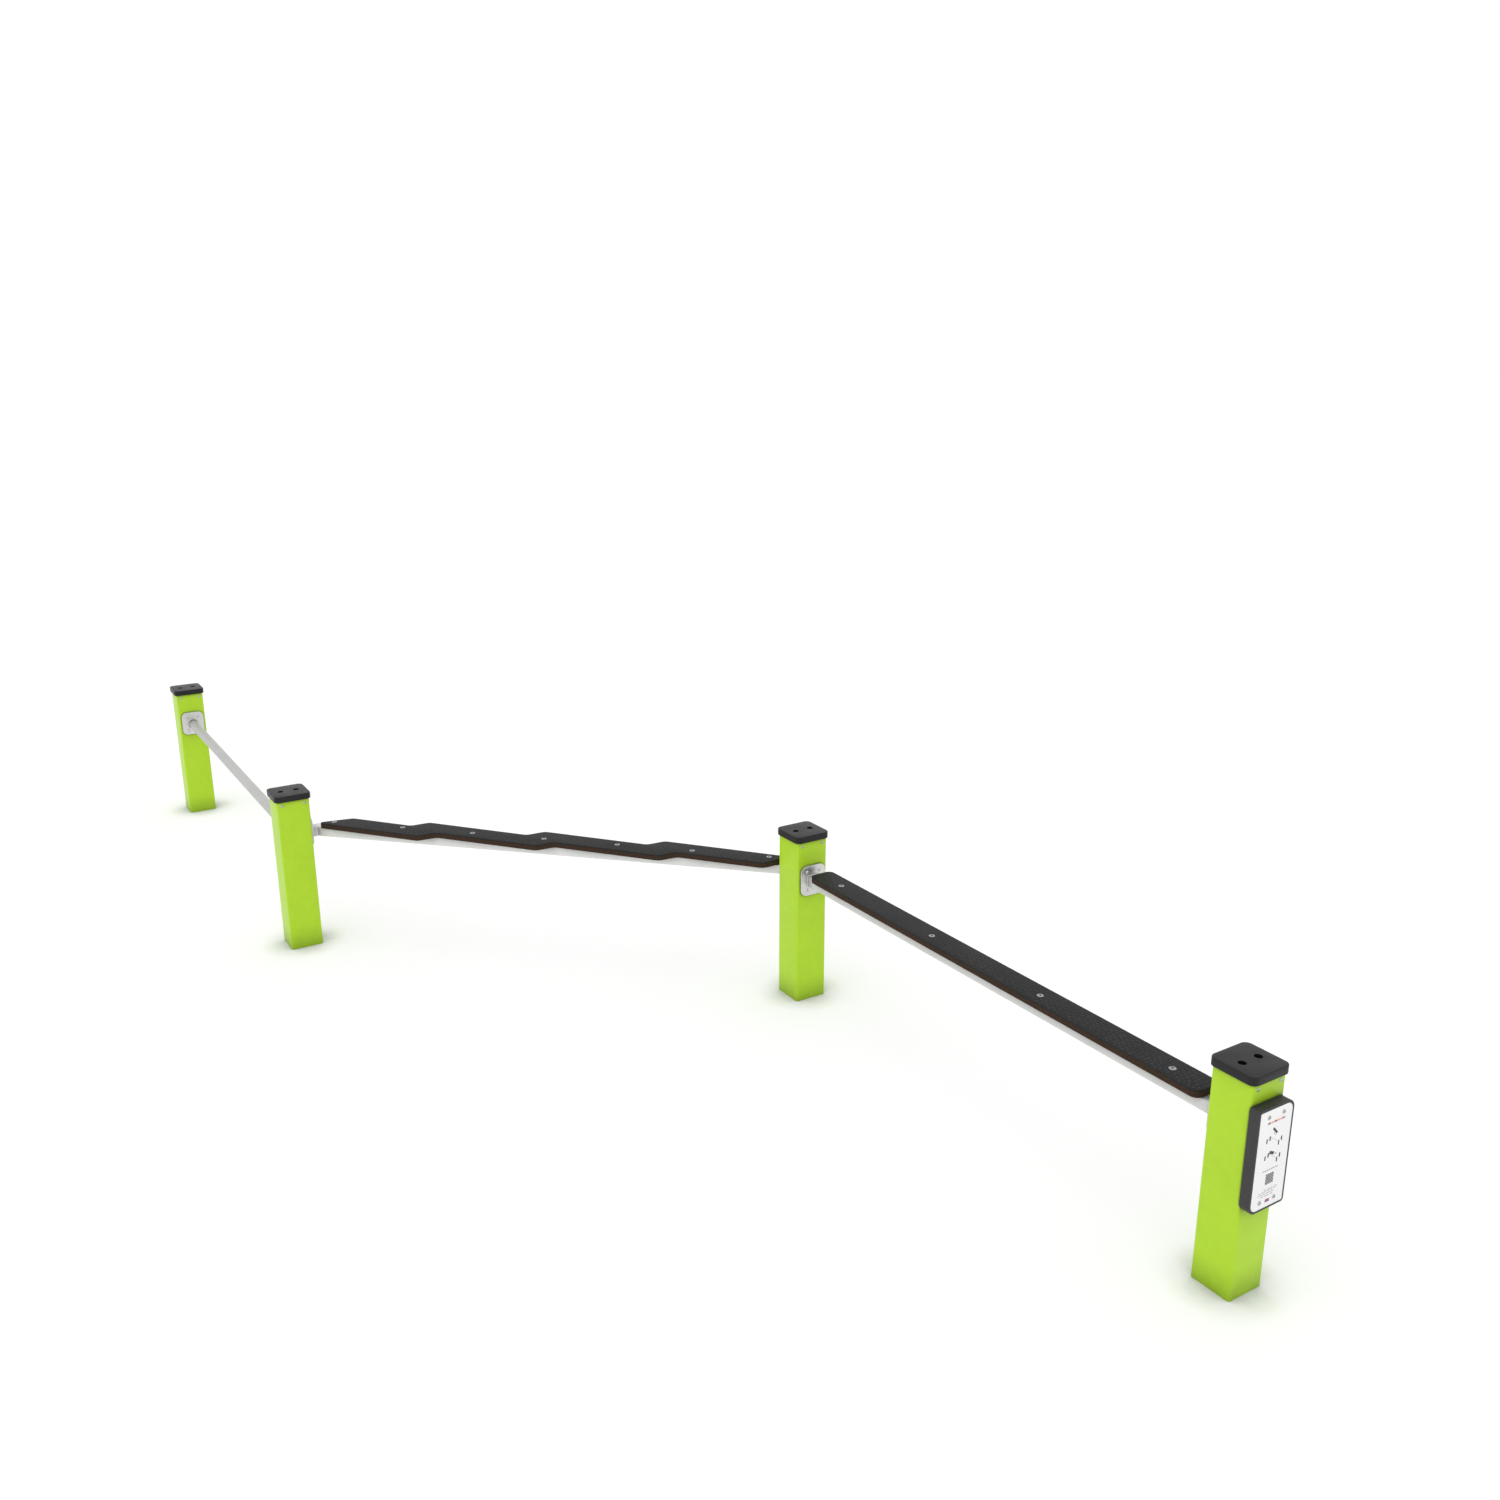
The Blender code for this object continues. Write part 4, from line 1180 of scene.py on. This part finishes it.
def dress_plank(name, corners, middle, turn, span, breadth):
    """A plank with rounded edges and the anti-slip lumps on it."""
    planks = settings("planks")
    low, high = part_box(name)
    thickness = high.z - low.z
    place = Matrix.Translation((middle.x, middle.y, low.z)) @ Matrix.Rotation(turn, 4, "Z")
    loops = eased_loops(corners, 0, thickness, planks.ease, planks.ease, CORNER_STEPS)
    board = plain_object(name + "_board", loft(loops), place)
    look = board_material(name + "_film", low.z, thickness)
    hand_over(board, look.name, [name])

    region = bmesh.new()
    margin = rounded_outline(corners, planks.grip_margin, CORNER_STEPS)
    region.faces.new([region.verts.new(point) for point in at_height(margin, 0)])
    region.normal_update()
    bmesh.ops.triangulate(region, faces=region.faces)
    lumps = plain_object(name + "_grip", region, place)
    grow(
        lumps,
        "Grip lumps",
        Length=span,
        Width=breadth,
        Pitch=planks.grip_pitch,
        Radius=planks.grip_radius,
        Height=planks.grip_height,
        Turn=turn,
        Middle=Vector((middle.x, middle.y, high.z)),
        Material=look,
    )
    hand_over(lumps, None)


def dress_planks():
    """Both planks with their anti-slip lumps."""
    planks = settings("planks")
    name = "straight_plank"
    size = size_of(name)
    corners = rectangle_corners(size.y, size.x, planks.straight_corner)
    dress_plank(name, corners, middle_of(name), -QUARTER_TURN, size.y, size.x)
    first, last = beam_path()[1:3]
    run = (last - first).length
    middle = (first + last) / 2
    corners = zigzag_corners(run)
    dress_plank("zigzag_plank", corners, middle, -QUARTER_TURN / 2, run, planks.width * 2)


def dress_plank_bolts():
    """The bolts on both planks, as one piece."""
    bolts = settings("fasteners")
    nodes = [f"zigzag_plank_bolt_{number}" for number in range(1, 8)]
    nodes += [f"straight_plank_bolt_{number}" for number in range(1, 5)]
    places = []
    for name in nodes:
        seat = middle_of(name)
        seat.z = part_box(name)[1].z - bolts.bolt_height
        places.append(Matrix.Translation(seat))
    fasteners("plank_bolts", places, bolts.bolt_radius, bolts.bolt_height, "dull_bolt", nodes)


# Inks of the printed marks, and how far the marks sink into the plate
PURPLE = (0.32, 0.11, 0.30)
ORANGE = (0.90, 0.46, 0.18)
PINK = (0.60, 0.24, 0.36)
BLACK = (0.015, 0.015, 0.015)
DARK = (0.045, 0.035, 0.035)
GREY = (0.22, 0.22, 0.22)
PALE = (0.48, 0.48, 0.48)
MILLIMETRE = 0.001
INK_SINK = 0.0001


def sign_marks():
    """Each mark's start, end and width in millimetres from the plate's middle, and its ink."""
    dashes = [(-24, -16, PURPLE), (-14, -7, ORANGE), (-5, 4, PURPLE), (6, 14, ORANGE)]
    dashes += [(16, 27, PINK)]
    marks = [(start, 83, finish, 83, 4.2, ink) for start, finish, ink in dashes]
    for shift in (0, -38):
        for x, y in ((-21, 43), (-12, 47), (16, 29), (24, 37)):
            marks.append((x, y + shift + 5, x, y + shift - 5, 3.4, BLACK))
        for x0, y0, x1, y1 in ((-12, 50, 16, 33), (-21, 46, -12, 50), (16, 33, 24, 41)):
            marks.append((x0, y0 + shift, x1, y1 + shift, 0.6, PALE))
    marks += [(-5, 68, 8, 54, 5.0, DARK), (-3, 58, 4, 50, 0.8, GREY)]
    marks += [(-9, 15, 5, 9, 6.5, DARK), (8, 8, 13, 6, 3.0, PALE)]
    marks.append((-23.4, -25.7, 23.2, -25.7, 1.3, GREY))
    for row in range(8):
        for column in range(8):
            x = -10 + column * 3
            y = -36.5 - row * 3
            ink = PALE if (row + column) % 2 else DARK
            marks.append((x - 1.5, y, x + 1.5, y, 3.0, ink))
    lines = [(-12, 29, -71, 4), (-28, 25, -75, 6), (-30, 19, -80, 6), (-20, 17, -85, 4)]
    for start, finish, y, words in lines:
        step = (finish - start) / words
        for word in range(words):
            x = start + step * word
            marks.append((x, y, x + step * (0.62 + 0.2 * (word % 2)), y, 1.9, PALE))
    marks.append((-5.5, -97.5, 7.5, -97.5, 7.0, PURPLE))
    return marks


def dress_print(place):
    """The printed marks, as thin blocks that share one colour layer."""
    levels = (-INK_SINK, settings("sign").ink_height)
    builder = bmesh.new()
    inks = []
    for x0, y0, x1, y1, width, ink in sign_marks():
        start = Vector((x0, y0)) * MILLIMETRE
        finish = Vector((x1, y1)) * MILLIMETRE
        along = (finish - start).normalized()
        side = Vector((-along.y, along.x)) * width * MILLIMETRE / 2
        outline = [start - side, finish - side, finish + side, start + side]
        loft([at_height(outline, level) for level in levels], builder=builder)
        inks += [(*ink, 1)] * len(outline) * len(levels)
    marks = plain_object("sign_print", builder, place)
    layer = marks.data.color_attributes.new("ink", "FLOAT_COLOR", "POINT")
    for item, ink in zip(layer.data, inks):
        item.color = ink
    hand_over(marks, "screen_ink")


def dress_sign():
    """The sign: moulded backing, white plate and plain printed marks."""
    sign = settings("sign")
    name = "sign_backing"
    size = size_of(name)
    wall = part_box(name)[1].y
    outer = rectangle_corners(size.x, size.z, sign.corner, sign.tight_corner)
    plate = "sign_plate"
    plate_size = size_of(plate)
    corners = rectangle_corners(plate_size.x, plate_size.z, sign.plate_corner, sign.sharp_corner)

    def place(node, y):
        """The placement at a node's middle, facing near."""
        middle = middle_of(node)
        middle.y = y
        return facing(NEAR, middle)

    low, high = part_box(plate)
    front = wall - low.y
    pocket = rounded_outline(corners, -FIT_GAP, CORNER_STEPS)
    loops = eased_loops(outer, 0, front, 0, sign.ease, CORNER_STEPS, ease_steps=5)
    loops += [at_height(pocket, front), at_height(pocket, size.y)]
    backing = plain_object("sign_backing_moulded", loft(loops), place(name, wall))
    hand_over(backing, "moulded_backing", [name])

    loops = eased_loops(corners, 0, plate_size.y, 0, sign.plate_ease, CORNER_STEPS)
    panel = plain_object("sign_face_plate", loft(loops), place(plate, high.y))
    hand_over(panel, "printed_panel", [plate])
    dress_print(place(plate, low.y))


# Stage

KEY_DIRECTION = Vector((0.55, 0.22, -0.80))


def white_ray_share(graph):
    """1 for rays that show the background: from the camera, a reflection or through glass."""
    path = graph.put("ShaderNodeLightPath")
    shiny = graph.math("MAXIMUM", path["Is Glossy Ray"], path["Is Transmission Ray"])
    return graph.math("MAXIMUM", path["Is Camera Ray"], shiny)


def build_world(stage):
    """Even light from all round, and a white background."""
    world = bpy.data.worlds.new("soft_dome")
    bpy.context.scene.world = world
    world.use_nodes = True
    graph = Graph(world.node_tree)
    sky = graph.tree.nodes["Background"]
    graph.feed(sky.inputs["Color"], (1, 1, 1))
    strength = graph.spread(white_ray_share(graph), 0, 1, stage.dome, 1.0)
    graph.feed(sky.inputs["Strength"], strength)


def build_floor(stage):
    """A plain pale floor that keeps the object's shadow, with painted shade added where it meets
    the object.
    """
    half = stage.floor_size / 2
    builder = bmesh.new()
    corners = [(-half, -half, 0), (half, -half, 0), (half, half, 0), (-half, half, 0)]
    builder.faces.new([builder.verts.new(corner) for corner in corners])
    floor = plain_object("floor", builder)
    look = Look("pale_floor", Roughness=1.0, Specular_IOR_Level=0, Emission_Strength=1.0)
    share = white_ray_share(look)
    mixed = look.blend(share, (stage.floor_bounce,) * 3, (stage.floor_shown,) * 3)
    lift = [look.times(share, stage.floor_lift)] * 3
    glow = look.put("ShaderNodeCombineColor", *lift)[0]
    # Painted shade darkens the floor close to the object, on top of its real shadow.
    look.shade(Base_Color=look.scaled(mixed, look.corner_shade(0.09, 0.78)), Emission_Color=glow)
    floor.data.materials.append(look.material)


def build_key(stage):
    """A very soft light from the upper left."""
    lamp = bpy.data.lights.new("soft_key", "SUN")
    lamp.energy = stage.key
    lamp.angle = stage.key_spread
    key = link_object("soft_key", lamp)
    key.rotation_euler = KEY_DIRECTION.to_track_quat("-Z", "Y").to_euler()


def build_camera(stage):
    """The camera where the photograph was taken from."""
    data = bpy.data.cameras.new("camera")
    data.lens = stage.lens
    data.clip_end = stage.floor_size
    camera = link_object("camera", data)
    heading = Matrix.Rotation(-stage.heading, 4, "Z")
    tilt = Matrix.Rotation(QUARTER_TURN - stage.tilt, 4, "X")
    roll = Matrix.Rotation(stage.roll, 4, "Z")
    camera.matrix_world = Matrix.Translation(stage.camera_place) @ heading @ tilt @ roll
    bpy.context.scene.camera = camera


def build_stage():
    """Floor, light and camera."""
    stage = settings("stage")
    bpy.context.scene.view_settings.view_transform = "Standard"
    build_world(stage)
    build_floor(stage)
    build_key(stage)
    build_camera(stage)


# Operators and panel


class TRAIL_OT_stage(bpy.types.Operator):
    """Build the floor, the light and the camera"""

    bl_idname = "trail.stage"
    bl_label = "Stage"

    def execute(self, context):
        build_stage()
        return {"FINISHED"}


class TRAIL_OT_posts(bpy.types.Operator):
    """Dress the posts and their foot plates"""

    bl_idname = "trail.posts"
    bl_label = "Posts"

    def execute(self, context):
        dress_posts()
        return {"FINISHED"}


class TRAIL_OT_caps(bpy.types.Operator):
    """Dress the post caps"""

    bl_idname = "trail.caps"
    bl_label = "Caps"

    def execute(self, context):
        dress_caps()
        return {"FINISHED"}


class TRAIL_OT_side_screws(bpy.types.Operator):
    """Dress the screws under the caps and on the sign"""

    bl_idname = "trail.side_screws"
    bl_label = "Side screws"

    def execute(self, context):
        dress_side_screws()
        return {"FINISHED"}


class TRAIL_OT_flanges(bpy.types.Operator):
    """Dress the flange plates and their bolts"""

    bl_idname = "trail.flanges"
    bl_label = "Flange plates"

    def execute(self, context):
        dress_flanges()
        return {"FINISHED"}


class TRAIL_OT_rails(bpy.types.Operator):
    """Dress the round rail and the beams, with their welds"""

    bl_idname = "trail.rails"
    bl_label = "Rail and beams"

    def execute(self, context):
        dress_rails()
        return {"FINISHED"}


class TRAIL_OT_planks(bpy.types.Operator):
    """Dress both planks with their anti-slip lumps"""

    bl_idname = "trail.planks"
    bl_label = "Planks"

    def execute(self, context):
        dress_planks()
        return {"FINISHED"}


class TRAIL_OT_plank_bolts(bpy.types.Operator):
    """Dress the bolts on both planks"""

    bl_idname = "trail.plank_bolts"
    bl_label = "Plank bolts"

    def execute(self, context):
        dress_plank_bolts()
        return {"FINISHED"}


class TRAIL_OT_sign(bpy.types.Operator):
    """Dress the sign"""

    bl_idname = "trail.sign"
    bl_label = "Sign"

    def execute(self, context):
        dress_sign()
        return {"FINISHED"}


OPERATORS = [
    TRAIL_OT_stage,
    TRAIL_OT_posts,
    TRAIL_OT_caps,
    TRAIL_OT_side_screws,
    TRAIL_OT_flanges,
    TRAIL_OT_rails,
    TRAIL_OT_planks,
    TRAIL_OT_plank_bolts,
    TRAIL_OT_sign,
]


class TRAIL_PT_panel(bpy.types.Panel):
    """Lists the trail's steps and settings"""

    bl_label = "Balance trail"
    bl_idname = "TRAIL_PT_panel"
    bl_space_type = "VIEW_3D"
    bl_region_type = "UI"
    bl_category = "Trail"

    def draw(self, context):
        for operator in OPERATORS:
            self.layout.operator(operator.bl_idname)
        for name, group in SETTINGS.items():
            box = self.layout.box()
            for key in group.__annotations__:
                box.prop(getattr(context.scene, name), key)


def register():
    """Register the settings, the operators and the panel."""
    for name, group in SETTINGS.items():
        bpy.utils.register_class(group)
        setattr(bpy.types.Scene, name, PointerProperty(type=group))
    for kind in [*OPERATORS, TRAIL_PT_panel]:
        bpy.utils.register_class(kind)


def unregister():
    """Take away what register added."""
    for kind in [TRAIL_PT_panel, *reversed(OPERATORS)]:
        bpy.utils.unregister_class(kind)
    for name, group in SETTINGS.items():
        delattr(bpy.types.Scene, name)
        bpy.utils.unregister_class(group)


def main():
    """Build the stage and dress every piece."""
    register()
    bpy.ops.trail.stage()
    bpy.ops.trail.posts()
    bpy.ops.trail.caps()
    bpy.ops.trail.side_screws()
    bpy.ops.trail.flanges()
    bpy.ops.trail.rails()
    bpy.ops.trail.planks()
    bpy.ops.trail.plank_bolts()
    bpy.ops.trail.sign()


if __name__ == "__main__":
    main()
